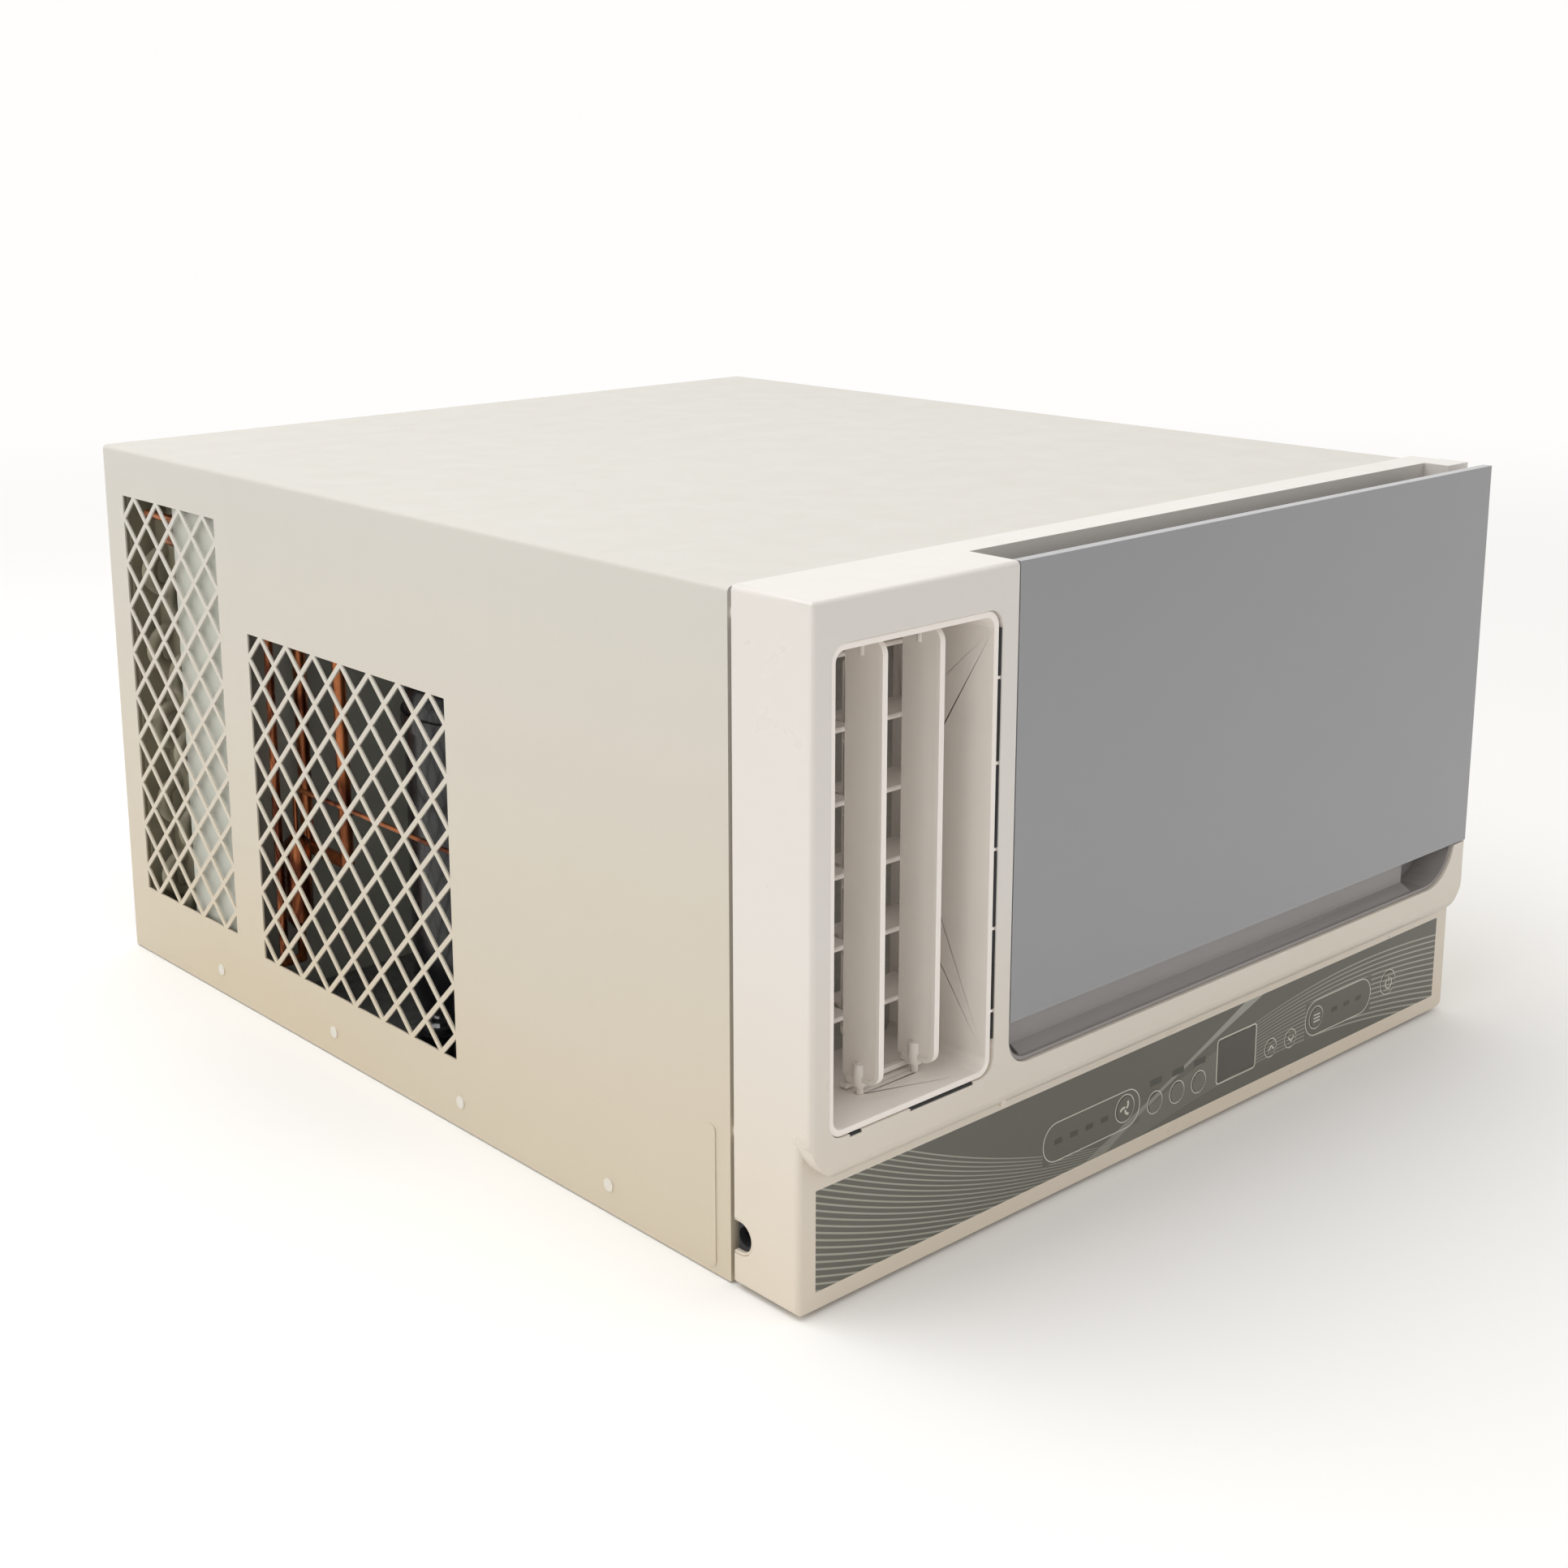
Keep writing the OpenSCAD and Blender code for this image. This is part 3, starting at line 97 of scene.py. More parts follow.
class Tree:
    """A node tree with short ways to add nodes and maths."""

    def __init__(self, tree, place="Object"):
        self.tree = tree
        self.place = self.add("TexCoord").outputs[place]

    def add(self, kind, inputs=(), **settings):
        made = self.tree.nodes.new("ShaderNode" + kind)
        for key, value in settings.items():
            setattr(made, key, value)
        for key, value in dict(inputs).items():
            self.put(made.inputs[key], value)
        return made

    def put(self, socket, value):
        if isinstance(value, bpy.types.NodeSocket):
            self.tree.links.new(value, socket)
        else:
            socket.default_value = value

    def maths(self, operation, a, b=0.0, c=0.0):
        return self.add("Math", {0: a, 1: b, 2: c}, operation=operation).outputs[0]

    def noise(self, scale, detail=2.0, stretch=(1, 1, 1), distortion=0.0):
        place = self.add("Mapping", {"Vector": self.place, "Scale": stretch}).outputs[0]
        found = self.add("TexNoise", {"Vector": place, "Scale": scale, "Detail": detail,
                                      "Distortion": distortion})
        return found.outputs[0]

    def remap(self, value, lo, hi, to_lo=0.0, to_hi=1.0):
        return self.add("MapRange", {0: value, 1: lo, 2: hi, 3: to_lo, 4: to_hi}).outputs[0]

    def mix(self, factor, a, b):
        mixed = self.add("Mix", data_type="RGBA")
        self.put(mixed.inputs[0], factor)
        self.put(mixed.inputs[6], a)
        self.put(mixed.inputs[7], b)
        return mixed.outputs[2]

    def axes(self):
        split = self.add("SeparateXYZ", {0: self.place})
        return split.outputs

    def edges(self, radius, lo=0.02, hi=0.3):
        """How close a point is to an edge, from a rounded normal."""
        rounded = self.add("Bevel", {"Radius": radius}, samples=4).outputs[0]
        flat = self.add("NewGeometry").outputs["Normal"]
        same = self.add("VectorMath", {0: rounded, 1: flat}, operation="DOT_PRODUCT").outputs["Value"]
        return self.remap(self.maths("SUBTRACT", 1.0, same), lo, hi)


def surface(name, base, rough, metallic=0.0, mottle=0.04, mottle_scale=9.0, grain=(1400.0, 0.00002),
            wear=0.25, wear_to=1.15, wear_r=0.0009, spread=0.06, coat=0.0, stretch=(1, 1, 1), paint=None,
            specular=0.5):
    """A procedural surface: mottled colour, uneven gloss, fine grain and worn edges.
    paint(tree, colour) may add a pattern; it returns (colour, height or None)."""
    material = bpy.data.materials.new(name)
    material.use_nodes = True
    t = Tree(material.node_tree)
    shader = t.tree.nodes["Principled BSDF"]
    patches = t.noise(mottle_scale, 4.0, stretch)
    colour = t.mix(t.remap(patches, 0.3, 0.7), shaded(base, 1 - mottle), shaded(base, 1 + mottle))
    height = None
    if paint:
        colour, height = paint(t, colour)
    worn = t.maths("MULTIPLY", t.edges(wear_r), t.remap(t.noise(60.0, 3.0), 0.35, 0.7, 0.3 * wear, wear))
    colour = t.mix(worn, colour, shaded(base, wear_to))
    t.put(shader.inputs["Base Color"], colour)
    streaks = t.noise(35.0, 5.0, stretch, 0.4)
    t.put(shader.inputs["Roughness"], t.remap(streaks, 0.3, 0.7, rough - spread, rough + spread))
    shader.inputs["Metallic"].default_value = metallic
    shader.inputs["Specular IOR Level"].default_value = specular
    if coat:
        shader.inputs["Coat Weight"].default_value = coat
        shader.inputs["Coat Roughness"].default_value = 0.08
    scale, depth = grain
    relief = t.maths("MULTIPLY", t.noise(scale, 2.0, stretch), depth)
    if height is not None:
        relief = t.maths("ADD", relief, height)
    bump = t.add("Bump", {"Height": relief, "Distance": 1.0, "Strength": 0.6})
    t.put(shader.inputs["Normal"], bump.outputs[0])
    return material


def stripes(axis, pitch, dark, bent):
    """Thin fins across an axis, a little wavy and bent here and there; the dark colour between them is
    painted shade in the gaps.
    """
    def paint(t, colour):
        wobble = t.maths("MULTIPLY", t.maths("SUBTRACT", t.noise(20.0, 3.0), 0.5), bent)
        along = t.maths("ADD", t.axes()[axis], wobble)
        ridge = t.maths("SINE", t.maths("MULTIPLY", along, math.tau / pitch))
        share = t.remap(ridge, -0.6, 0.7)
        return t.mix(share, dark, colour), t.maths("MULTIPLY", share, pitch * 0.25)
    return paint


def warm_floor_bounce(tint, top):
    """Painted warm floor bounce light: paint or plastic made a little warmer and darker towards its foot;
    top in metres.
    """
    def paint(t, colour):
        low = t.remap(t.axes()[Z], 0.02, top, 1.0, 0.0)
        # the painted warm bounce light is strongest low down, by an uneven amount
        bounce = t.maths("MULTIPLY", low, t.remap(t.noise(3.0, 2.0), 0.3, 0.7, 0.75, 1.0))
        return t.mix(bounce, colour, tint), None
    return paint


def oxide(t, colour):
    """Darker patches on bare copper."""
    patches = t.remap(t.noise(45.0, 6.0, (1, 1, 0.4), 0.6), 0.45, 0.62)
    return t.mix(patches, colour, srgb("#5E2F1C")), None


def woven(pitch, hole):
    """A square weave with darker holes: painted shade seen through the mesh."""
    def paint(t, colour):
        axes = t.axes()
        threads = [t.maths("SINE", t.maths("MULTIPLY", axes[i], math.tau / pitch)) for i in (X, Z)]
        top = t.maths("MAXIMUM", threads[0], threads[1])
        share = t.remap(top, 0.2, 0.6)
        return t.mix(share, hole, colour), t.maths("MULTIPLY", share, pitch * 0.2)
    return paint


PRINT_LINE = srgb("#A09E92")
SWOOSH = srgb("#A9A99F")


def fan_of_lines(t, height, pitch):
    """One where a point lies on one of a fan of lines, from its height over the fan's middle line."""
    saw = t.maths("FRACT", t.maths("DIVIDE", height, pitch))
    return t.maths("LESS_THAN", saw, 0.3)


def outside_pill(t, x, z, lo, hi):
    """One outside a long key field, so that the lines of the print stop at it."""
    far_x = t.maths("ABSOLUTE", t.maths("SUBTRACT", x, (lo[0] + hi[0]) / 2))
    far_z = t.maths("ABSOLUTE", t.maths("SUBTRACT", z, (lo[1] + hi[1]) / 2))
    return t.maths("MAXIMUM", t.maths("GREATER_THAN", far_x, (hi[0] - lo[0]) / 2),
                   t.maths("GREATER_THAN", far_z, (hi[1] - lo[1]) / 2))


def overlay_print(t, colour):
    """Two fans of thin lines that spread from the middle to both ends of the strip, and a swoosh."""
    axes = t.axes()
    x, z = axes[X], axes[Z]
    rise = t.remap(z, OVERLAY_LO.z, OVERLAY_HI.z)

    # the swoosh's middle line, its width, and how far right of the line a point is
    middle = t.maths("MULTIPLY_ADD", t.maths("POWER", rise, 1.05), 0.150, -0.068)
    half = t.maths("MULTIPLY_ADD", t.maths("SINE", t.maths("MULTIPLY", rise, math.pi)), -0.006, 0.0095)
    off = t.maths("SUBTRACT", x, middle)

    # left fan: it hangs from a curve that falls towards the middle
    leftwards = t.maths("MAXIMUM", t.maths("MULTIPLY_ADD", x, -1.0, 0.005), 0.0)
    climb = t.maths("POWER", t.maths("DIVIDE", leftwards, 0.22), 1.8)
    crest = t.maths("MULTIPLY_ADD", climb, 0.056, 0.012)
    height = t.maths("SUBTRACT", z, crest)
    left = fan_of_lines(t, height, t.maths("MULTIPLY_ADD", leftwards, 0.0125, 0.0004))
    left = t.maths("MULTIPLY", left, t.maths("LESS_THAN", height, 0.0))
    left = t.maths("MULTIPLY", left, t.maths("LESS_THAN", off, 0.0))

    # right fan: it spreads evenly about an arched middle line
    rightwards = t.maths("MAXIMUM", t.maths("ADD", x, 0.05), 0.0)
    arch = t.maths("SINE", t.maths("MULTIPLY", rightwards, math.pi / 0.42))
    height = t.maths("SUBTRACT", z, t.maths("MULTIPLY_ADD", arch, 0.027, 0.016))
    pitch = t.maths("MULTIPLY_ADD", rightwards, 0.0095, 0.0008)
    inside = t.maths("LESS_THAN", t.maths("ABSOLUTE", height), t.maths("MULTIPLY", pitch, 7.0))
    right = t.maths("MULTIPLY", fan_of_lines(t, height, pitch), inside)
    right = t.maths("MULTIPLY", right, t.maths("GREATER_THAN", off, 0.0))

    lines = t.maths("MAXIMUM", left, right)
    for lo, hi in PILL_BOXES.values():
        lines = t.maths("MULTIPLY", lines, outside_pill(t, x, z, lo, hi))
    swoosh = t.maths("LESS_THAN", t.maths("ABSOLUTE", off), half)
    colour = t.mix(t.maths("MULTIPLY", swoosh, t.remap(rise, 0.0, 1.0, 0.3, 0.75)), colour, SWOOSH)
    faint = t.remap(t.maths("ABSOLUTE", x), 0.03, 0.2, 0.45, 0.95)
    return t.mix(t.maths("MULTIPLY", lines, faint), colour, PRINT_LINE), None


MATERIALS = {
    # The cabinet and the bezel carry painted warm floor bounce light, warmer towards their feet
    "cabinet_paint": surface("cabinet_paint", srgb("#C9C5BD"), 0.42, mottle=0.012,
                             mottle_scale=3.0, grain=(900.0, 0.00006), wear=0.35, wear_to=1.2,
                             paint=warm_floor_bounce(srgb("#CBBDA4"), 0.36)),
    "bezel_plastic": surface("bezel_plastic", srgb("#D9D4CE"), 0.33, mottle=0.015, mottle_scale=4.0,
                             grain=(1600.0, 0.00002), wear=0.4, wear_to=1.1,
                             paint=warm_floor_bounce(srgb("#D8CBB8"), 0.2)),
    "panel_plastic": surface("panel_plastic", srgb("#8F8F92"), 0.2, mottle=0.02, mottle_scale=3.0,
                             grain=(500.0, 0.000004), wear=0.8, wear_to=1.9, spread=0.03, coat=0.3),
    "frame_plastic": surface("frame_plastic", srgb("#979290"), 0.35, mottle=0.03, wear_to=1.3),
    "outlet_plastic": surface("outlet_plastic", srgb("#F1EAE3"), 0.42, mottle=0.02,
                              grain=(1500.0, 0.00003), wear=0.55, wear_to=1.25),
    "overlay_film": surface("overlay_film", srgb("#605E55"), 0.4, mottle=0.03, wear=0.1,
                            paint=overlay_print),
    "display": surface("display", srgb("#3B332B"), 0.12, mottle=0.25, mottle_scale=70.0, wear=0.1,
                       coat=0.6),
    "circuit_board": surface("circuit_board", srgb("#1F5B32"), 0.4, mottle=0.2, mottle_scale=90.0),
    "galvanised": surface("galvanised", srgb("#A3A5A6"), 0.42, metallic=0.9, mottle=0.18,
                          mottle_scale=120.0, wear=0.2),
    "screw_steel": surface("screw_steel", srgb("#DAD5CB"), 0.38, metallic=0.1, mottle=0.05,
                           mottle_scale=300.0),
    # Both fin blocks carry painted shade in the gaps between their fins
    "aluminium_fins": surface("aluminium_fins", srgb("#B9BEC2"), 0.35, metallic=0.8,
                              paint=stripes(X, 0.0018, srgb("#4C5054"), 0.0012)),
    "coated_fins": surface("coated_fins", srgb("#5B5A48"), 0.45, metallic=0.3, mottle=0.1,
                           paint=stripes(X, 0.0018, srgb("#1D1D16"), 0.0015)),
    "coil_coating": surface("coil_coating", srgb("#8A8470"), 0.5, metallic=0.1, mottle=0.12,
                            mottle_scale=50.0),
    "copper": surface("copper", srgb("#C0764A"), 0.3, metallic=0.85, mottle=0.15, mottle_scale=60.0,
                      paint=oxide),
    "white_foam": surface("white_foam", srgb("#D9D7D0"), 0.7, mottle=0.05, mottle_scale=220.0,
                          grain=(700.0, 0.0002)),
    "shroud_plastic": surface("shroud_plastic", srgb("#B9BAB0"), 0.4, mottle=0.03),
    "black_plastic": surface("black_plastic", srgb("#2A2A2C"), 0.45, mottle=0.15),
    "black_enamel": surface("black_enamel", srgb("#17171A"), 0.25, mottle=0.2, coat=0.2,
                            grain=(300.0, 0.00008)),
    "motor_steel": surface("motor_steel", srgb("#55585B"), 0.4, metallic=0.4, mottle=0.1),
    "shaft_steel": surface("shaft_steel", srgb("#B9BABC"), 0.25, metallic=1.0, mottle=0.1,
                           stretch=(1, 0.1, 1)),
    "rubber": surface("rubber", srgb("#232325"), 0.7, mottle=0.2, wear_to=1.6),
    # The net's dark holes are painted shade
    "filter_net": surface("filter_net", srgb("#6D7073"), 0.6, paint=woven(0.0016, srgb("#1C1D1F"))),
}
PRINT = surface("light_print", srgb("#C9C5B9"), 0.45, mottle=0.03, wear=0.1)
DARK_PRINT = surface("dark_print", srgb("#474740"), 0.4, mottle=0.05, wear=0.1)

# Nodes with moulded or pressed edges: the radius of their edges in millimetres
SOFT_EDGES = {
    "front_bezel": 0.6, "intake_panel": 0.9, "intake_frame": 0.5, "outlet_frame": 0.6,
    "louver_left": 0.5, "louver_right": 0.5, "louver_link": 0.3, "vane_link": 0.3,
    "blower_scroll": 0.6, "fan_shroud": 0.4, "drain_tray": 0.5, "base_pan": 0.3, "swing_motor": 0.4,
}
SOFT_EDGES.update({f"vane_{i}": 0.4 for i in range(1, 7)})
SOFT_EDGES.update({n: 0.25 for n in nodes if n.endswith("_button")})


def soften(obj, width):
    """Welds the split CAD faces and rounds the sharp edges."""
    weld = obj.modifiers.new("weld", "WELD")
    weld.merge_threshold = 1e-6
    bevel = obj.modifiers.new("bevel", "BEVEL")
    bevel.width = width * MM
    bevel.segments = 2
    bevel.limit_method = "ANGLE"
    bevel.angle_limit = math.radians(38)
    bevel.harden_normals = True


def apply_material(obj, slot):
    obj.data.materials.clear()
    obj.data.materials.append(MATERIALS[slot])


for entry in frame["record"]["subparts"]:
    apply_material(nodes[entry["node"]], entry["material_slot"])
for name, width in SOFT_EDGES.items():
    soften(nodes[name], width)


# ---- printed and moulded details ----

def new_piece(name, verts, faces, material, body):
    mesh = bpy.data.meshes.new(name)
    mesh.from_pydata(verts, [], faces)
    mesh.validate()
    mesh.materials.append(material)
    obj = bpy.data.objects.new(name, mesh)
    bpy.context.scene.collection.objects.link(obj)
    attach(obj, body)
    return obj


def band(outer, inner, y0, y1, closed=True):
    """Vertices and faces of a flat strip between two outlines in (x, z), from y0 (front) to y1."""
    n = len(outer)
    verts = [(x, y, z) for y in (y0, y1) for line in (outer, inner) for x, z in line]
    faces = []
    for i in range(n if closed else n - 1):
        j = (i + 1) % n
        faces.append((i, j, n + j, n + i))
        faces.append((2 * n + i, 3 * n + i, 3 * n + j, 2 * n + j))
        faces.append((i, 2 * n + i, 2 * n + j, j))
        faces.append((n + i, n + j, 3 * n + j, 3 * n + i))
    if not closed:
        for i in (0, n - 1):
            cap = (i, n + i, 3 * n + i, 2 * n + i)
            faces.append(cap if i == 0 else cap[::-1])
    return verts, faces


def round_rect(lo, hi, r, steps=8):
    """Outline of a rectangle with round corners, in (x, z)."""
    centres = [(hi[0] - r, hi[1] - r), (lo[0] + r, hi[1] - r),
               (lo[0] + r, lo[1] + r), (hi[0] - r, lo[1] + r)]
    points = []
    for quarter, (cx, cz) in enumerate(centres):
        for k in range(steps + 1):
            a = math.radians(90 * (quarter + k / steps))
            points.append((cx + r * math.cos(a), cz + r * math.sin(a)))
    return points


PRINT_LIFT = 0.05 * MM
PRINT_SINK = 0.1 * MM


def outline(name, lo, hi, r, width, body="chassis", y=STRIP_Y):
    """A printed line around a rounded rectangle; lo, hi, r and width in metres."""
    inner = round_rect((lo[0] + width, lo[1] + width), (hi[0] - width, hi[1] - width), r - width)
    verts, faces = band(round_rect(lo, hi, r), inner, y - PRINT_LIFT, y + PRINT_SINK)
    return new_piece(name, verts, faces, PRINT, body)


def stroke(name, points, width, body, y, material=PRINT):
    """A printed polyline of even width through (x, z) points."""
    left, right = [], []
    for i, (px, pz) in enumerate(points):
        a = Vector(points[max(i - 1, 0)])
        b = Vector(points[min(i + 1, len(points) - 1)])
        here = Vector((px, pz))
        into = (here - a).normalized() if i else (b - here).normalized()
        out = (b - here).normalized() if i < len(points) - 1 else into
        side = Vector((-into.y - out.y, into.x + out.x)).normalized()
        reach = width / 2 / max(side.dot(Vector((-into.y, into.x))), 0.3)
        left.append(tuple(here + side * reach))
        right.append(tuple(here - side * reach))
    verts, faces = band(left, right, y - PRINT_LIFT, y + PRINT_SINK, closed=False)
    return new_piece(name, verts, faces, material, body)


def arc(cx, cz, r, start, end, steps=20):
    angles = [math.radians(start + (end - start) * k / steps) for k in range(steps + 1)]
    return [(cx + r * math.cos(a), cz + r * math.sin(a)) for a in angles]


KEY_HOLE = {  # radius of each key's hole in the overlay, in millimetres
    "fan_speed_button": 8, "swing_button": 6.5, "timer_button": 6.5, "sleep_button": 6.5,
    "temp_up_button": 5.6, "temp_down_button": 5.6, "mode_button": 7, "power_button": 8,
}
for name, r in KEY_HOLE.items():
    c = key_centre(name)
    reach = (r + 0.75) * MM
    outline("ring_" + name, (c.x - reach, c.z - reach), (c.x + reach, c.z + reach), reach, 0.7 * MM)

# pills with small dark indicator windows, and the display's outline
PILL_LINE = 0.6 * MM
LAMP_PITCH, LAMP_LEN = 13.5 * MM, 6.5 * MM
LAMPS = {"fan_pill": (PILL_BOXES["fan_pill"][0][0] + 10 * MM, 4), "mode_pill": (mode.x + 17 * MM, 3)}
for name, (lo, hi) in PILL_BOXES.items():
    outline(name, lo, hi, PILL_HALF * 0.98, PILL_LINE)
    first, lamps = LAMPS[name]
    z = (lo[1] + hi[1]) / 2
    for i in range(lamps):
        at = first + i * LAMP_PITCH
        stroke(f"{name}_lamp_{i + 1}", [(at, z), (at + LAMP_LEN, z)], 3.2 * MM, "chassis", STRIP_Y,
               DARK_PRINT)
DISPLAY_LO, DISPLAY_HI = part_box("display_window")
outline("display_outline", (DISPLAY_LO.x - 1.8 * MM, DISPLAY_LO.z - 1.8 * MM),
        (DISPLAY_HI.x + 1.8 * MM, DISPLAY_HI.z + 1.8 * MM), 3 * MM, 0.8 * MM)
for name in ("swing_button", "timer_button", "sleep_button"):
    c = key_centre(name)
    stroke("lamp_" + name, [(c.x - 5 * MM, c.z + 13 * MM), (c.x + 6 * MM, c.z + 13 * MM)], 4 * MM,
           "chassis", STRIP_Y, DARK_PRINT)


def on_key(name, label, points, width=0.8):
    """A printed sign on a key's face; points in millimetres from the key's centre."""
    c = key_centre(name)
    body = nodes[name]["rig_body"]
    placed = [(c.x + px * MM, c.z + pz * MM) for px, pz in points]
    stroke(f"{name}_{label}", placed, width * MM, body, c.y)


for name, way in (("temp_up_button", 1), ("temp_down_button", -1)):
    on_key(name, "chevron", [(-3, -1.3 * way), (0, 1.5 * way), (3, -1.3 * way)], 1.0)
on_key("power_button", "ring", arc(0, -0.4, 3.6, 125, 415))
on_key("power_button", "bar", [(0, 0.6), (0, 4.2)])
for i, z in enumerate((2.2, 0, -2.2)):
    on_key("mode_button", f"bar_{i + 1}", [(-3.4, z), (3.4, z)], 0.9)
for i in range(3):
    on_key("fan_speed_button", f"blade_{i + 1}",
           [(r * math.cos(math.radians(120 * i + 14 * r)), r * math.sin(math.radians(120 * i + 14 * r)))
            for r in (0.8, 1.8, 2.8, 3.8, 4.8)], 1.5)


# ---- painted shadow: black blocks in the slits round the outlet ----

def shadow_block(name, lo, hi):
    """A black block between two corners, in millimetres; painted shadow that stands in for the shade inside
    a slit.
    """
    (x0, y0, z0), (x1, y1, z1) = [[c * MM for c in corner] for corner in (lo, hi)]
    corners = [(x0, z0), (x1, z0), (x1, z1), (x0, z1)]
    verts = [(x, y, z) for y in (y0, y1) for x, z in corners]
    faces = [(0, 1, 2, 3), (7, 6, 5, 4)] + [(i, 4 + i, 4 + (i + 1) % 4, (i + 1) % 4) for i in range(4)]
    new_piece(name, verts, faces, MATERIALS["rubber"], "chassis")


# In millimetres: the upright slit, the heights of the tabs that cross it, and the slits in the floor
FRONT = BEZEL_LO.y / MM
# How far behind the front the black painted-shadow blocks sit
SHADOW_Y = (FRONT + 0.7, FRONT + 2.9)
SLIT_X, SLIT_Z = (-168.9, -167.4), (118, 341)
TAB_ZS, TAB_HALF = (133.5, 179.5, 223, 269.6, 315), 1.2
FLOOR_SLITS, FLOOR_SHADOW_Z = ((-274, -265.5), (-230.6, -183)), (96.5, 97.8)
ends = [SLIT_Z[0]] + [z + side * TAB_HALF for z in TAB_ZS for side in (-1, 1)] + [SLIT_Z[1]]
for i in range(0, len(ends), 2):
    shadow_block(f"slit_shadow_{i // 2 + 1}", (SLIT_X[0], SHADOW_Y[0], ends[i]), (SLIT_X[1], SHADOW_Y[1], ends[i + 1]))
for i, (x0, x1) in enumerate(FLOOR_SLITS):
    lo, hi = (x0 + 0.2, SHADOW_Y[0], FLOOR_SHADOW_Z[0]), (x1 - 0.2, SHADOW_Y[1], FLOOR_SHADOW_Z[1])
    shadow_block(f"floor_slit_shadow_{i + 1}", lo, hi)


# ---- lip round the cord notch ----

# Height, radius just inside the wall's cut, and depth of the notch in front of the bezel's back edge
NOTCH_Z, NOTCH_R, NOTCH_DEPTH = 30 * MM, 9.95 * MM, 4 * MM


def cord_lip():
    """A rounded lip along the notch in the bezel's left wall."""
    x_out = BEZEL_LO.x + 0.05 * MM
    centre_y, centre_z, r = BEZEL_BACK_Y - NOTCH_DEPTH, NOTCH_Z, NOTCH_R
    path = [(BEZEL_BACK_Y, centre_z - r)]
    path += [(centre_y - r * math.cos(a), centre_z + r * math.sin(a))
             for a in [math.radians(-90 + 180 * k / 24) for k in range(25)]]
    path.append((BEZEL_BACK_Y, centre_z + r))
    lip, depth = 1.5 * MM, 5 * MM
    profile = [(0.0, depth), (0.0, 0.7 * MM), (0.25 * lip, 0.15 * MM), (0.6 * lip, 0.0),
               (0.85 * lip, 0.2 * MM), (lip, 0.8 * MM), (lip, depth)]
    verts, faces = [], []
    for i, (y, z) in enumerate(path):
        straight = i == 0 or i == len(path) - 1
        inward = Vector((0, centre_z - z)) if straight else Vector((centre_y - y, centre_z - z))
        inward.normalize()
        for offset, x_in in profile:
            verts.append((x_out + x_in, y + inward.x * offset, z + inward.y * offset))
    n = len(profile)
    for i in range(len(path) - 1):
        for k in range(n):
            m = (k + 1) % n
            faces.append((i * n + k, i * n + m, (i + 1) * n + m, (i + 1) * n + k))
    faces.append(tuple(range(n))[::-1])
    faces.append(tuple((len(path) - 1) * n + k for k in range(n)))
    lip_piece = new_piece("cord_notch_lip", verts, faces, MATERIALS["bezel_plastic"], "chassis")
    for polygon in lip_piece.data.polygons:
        polygon.use_smooth = True


cord_lip()

# ---- floor, light and camera ----

SKY = (1.0, 0.99, 0.975, 1.0)
# The backdrop is bright beyond the object and dimmer on the camera's side of the room
FAR_SIDE = (0.66, 0.75, 0.0)
BRIGHT, DIM = 1.0, 0.66
# How far from the object the floor starts and ends its fade into the backdrop, in metres
FADE_FROM, FADE_TO = 0.8, 3.2


def backdrop_strength(t):
    """The backdrop's strength in a direction from the middle of the floor."""
    unit = t.add("VectorMath", {0: t.place}, operation="NORMALIZE").outputs["Vector"]
    share = t.add("VectorMath", {0: unit, 1: FAR_SIDE}, operation="DOT_PRODUCT").outputs["Value"]
    limits = {1: -0.5, 2: 0.6, 3: DIM, 4: BRIGHT}
    return t.add("MapRange", {0: share, **limits}, interpolation_type="SMOOTHSTEP").outputs[0]


def floor_paper():
    """Pale paper that fades into the backdrop's own brightness far from the object."""
    material = surface("floor_paper", srgb("#F4F3F1"), 0.8, mottle=0.01, mottle_scale=0.5,
                       grain=(60.0, 0.0001), wear=0.0, specular=0.2)
    t = Tree(material.node_tree)
    away = t.add("VectorMath", {0: t.place}, operation="LENGTH").outputs["Value"]
    fade = t.add("MapRange", {0: away, 1: FADE_FROM, 2: FADE_TO}, interpolation_type="SMOOTHSTEP")
    glow = t.add("Emission", {"Color": SKY, "Strength": backdrop_strength(t)})
    paper = t.tree.nodes["Principled BSDF"]
    blend = t.add("MixShader", {0: fade.outputs[0], 1: paper.outputs[0], 2: glow.outputs[0]})
    t.put(t.tree.nodes["Material Output"].inputs["Surface"], blend.outputs[0])
    return material


floor_mesh = bpy.data.meshes.new("floor")
FLOOR_REACH = 40.0
floor_corners = [(sx * FLOOR_REACH, sy * FLOOR_REACH, 0) for sx, sy in ((-1, -1), (1, -1), (1, 1), (-1, 1))]
floor_mesh.from_pydata(floor_corners, [], [(0, 1, 2, 3)])
floor = bpy.data.objects.new("floor", floor_mesh)
bpy.context.scene.collection.objects.link(floor)
floor_mesh.materials.append(floor_paper())

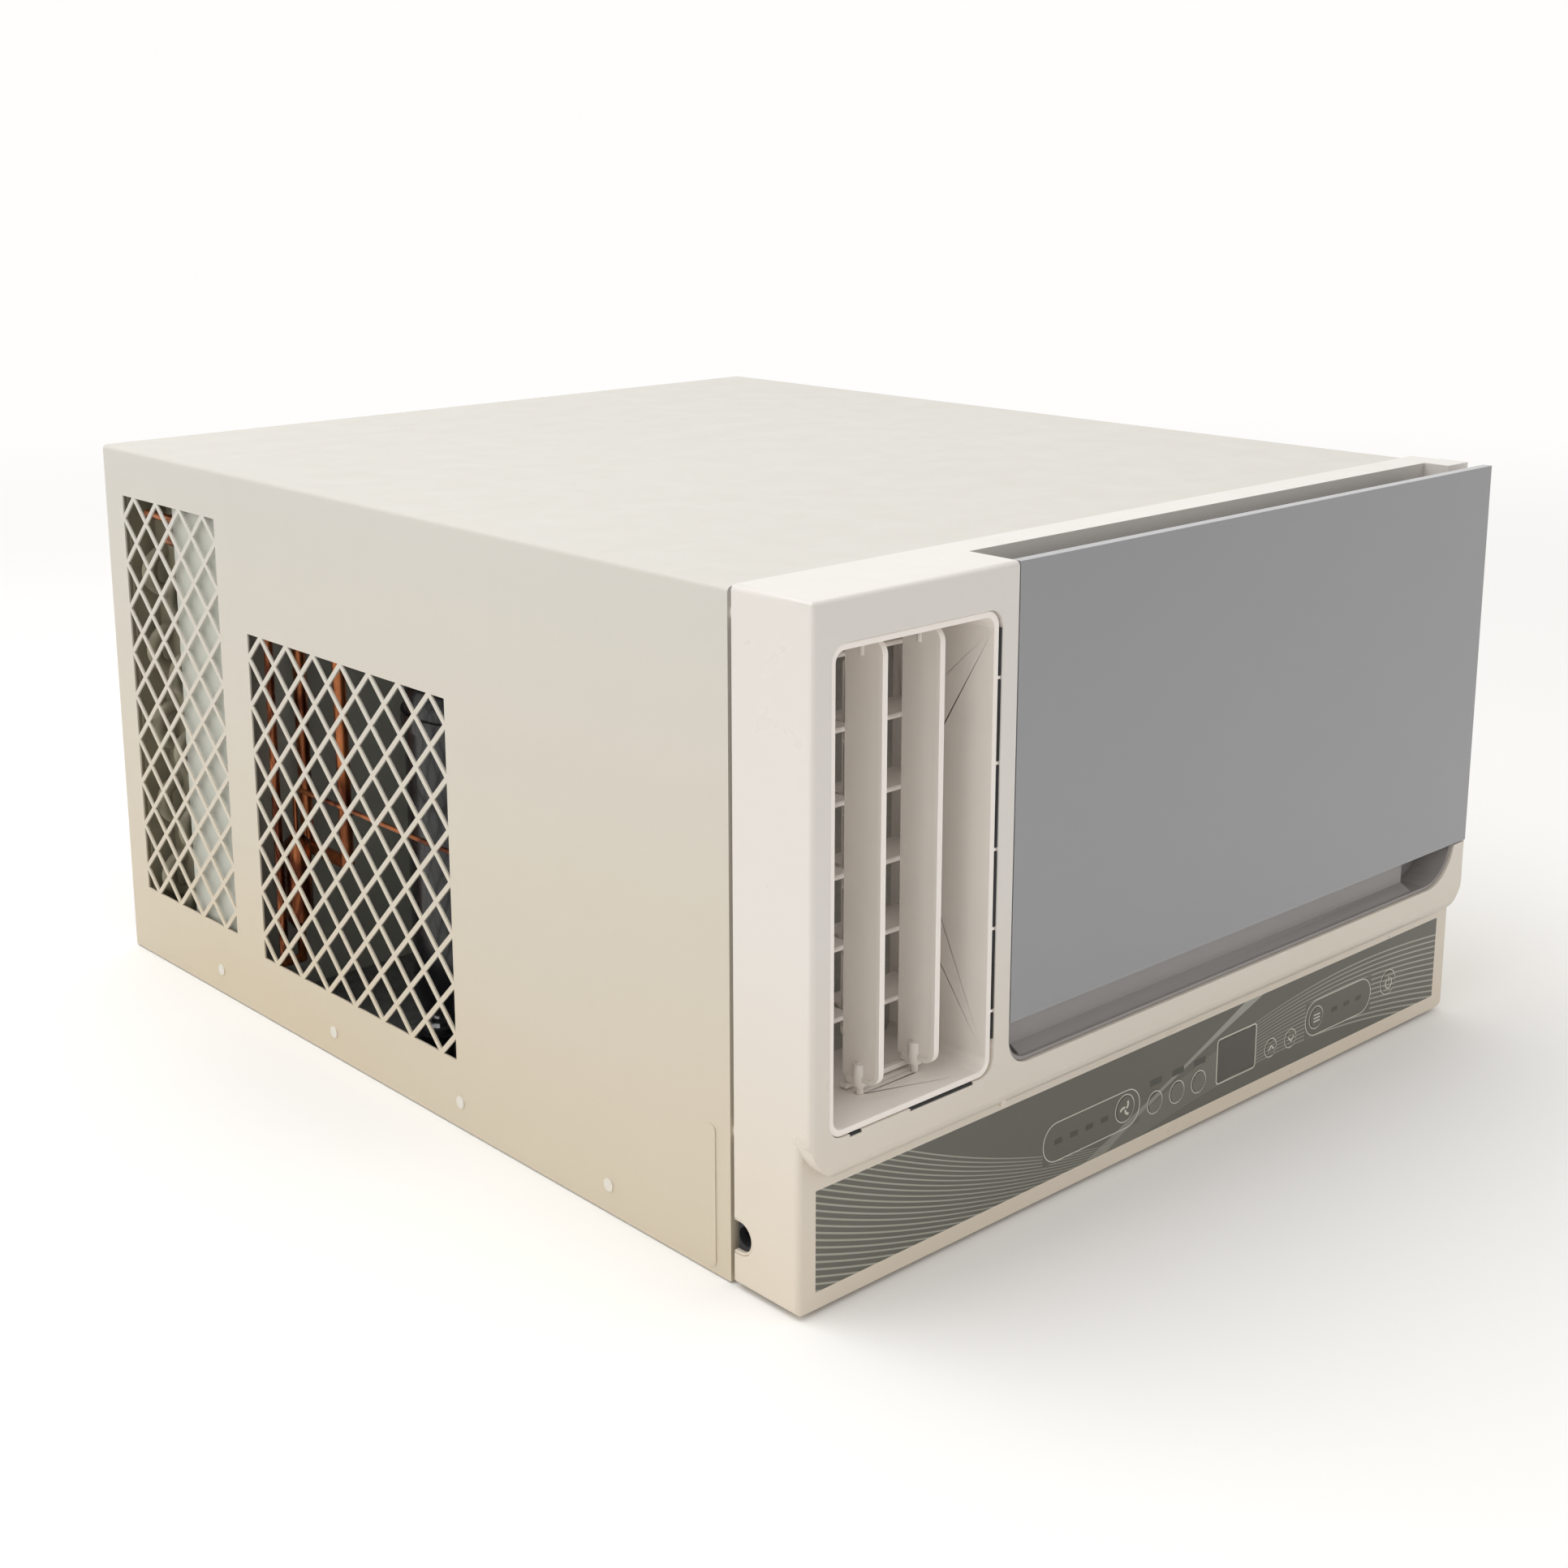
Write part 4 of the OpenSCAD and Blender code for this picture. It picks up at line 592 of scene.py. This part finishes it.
world = bpy.data.worlds.new("studio")
bpy.context.scene.world = world
world.use_nodes = True
backdrop = world.node_tree.nodes["Background"]
backdrop.inputs["Color"].default_value = SKY
sky = Tree(world.node_tree, "Generated")
sky.put(backdrop.inputs["Strength"], backdrop_strength(sky))


def softbox(name, place, aim, size, power, colour=(1, 1, 1)):
    data = bpy.data.lights.new(name, "AREA")
    data.shape = "RECTANGLE"
    data.size, data.size_y = size
    data.energy = power
    data.color = colour
    lamp = bpy.data.objects.new(name, data)
    lamp.location = place
    lamp.rotation_mode = "QUATERNION"
    lamp.rotation_quaternion = (Vector(aim) - Vector(place)).to_track_quat("-Z", "Y")
    bpy.context.scene.collection.objects.link(lamp)


CENTRE = (0.0, 0.0, 0.2)
softbox("top_light", (-0.9, 0.5, 2.4), CENTRE, (2.2, 2.2), 34.0, (0.96, 0.98, 1.0))
softbox("side_light", (-2.6, -0.6, 1.5), CENTRE, (1.6, 1.6), 10.0, (1.0, 0.97, 0.92))
softbox("front_light", (0.9, -2.8, 1.2), CENTRE, (1.8, 1.4), 3.0)

# Camera: place in metres, direction from which it looks, lens and framing
EYE = (-0.9963, -1.0870, 0.5946)
AZIMUTH, ELEVATION, ROLL = math.radians(-41.7), math.radians(13.0), math.radians(-0.3)
back = Vector((math.sin(AZIMUTH) * math.cos(ELEVATION), -math.cos(AZIMUTH) * math.cos(ELEVATION),
               math.sin(ELEVATION)))
right = Vector((math.cos(AZIMUTH), math.sin(AZIMUTH), 0.0))
up = back.cross(right)
camera_data = bpy.data.cameras.new("camera")
camera_data.sensor_width = 36.0
camera_data.lens = 50.9
camera_data.shift_x, camera_data.shift_y = 0.031, -0.100
camera_data.clip_start, camera_data.clip_end = 0.05, 200.0
camera = bpy.data.objects.new("camera", camera_data)
turn = Matrix((right, up, back)).transposed().to_4x4()
camera.matrix_world = Matrix.Translation(EYE) @ turn @ Matrix.Rotation(ROLL, 4, "Z")
bpy.context.scene.collection.objects.link(camera)
bpy.context.scene.camera = camera
bpy.context.scene.view_settings.view_transform = "Standard"
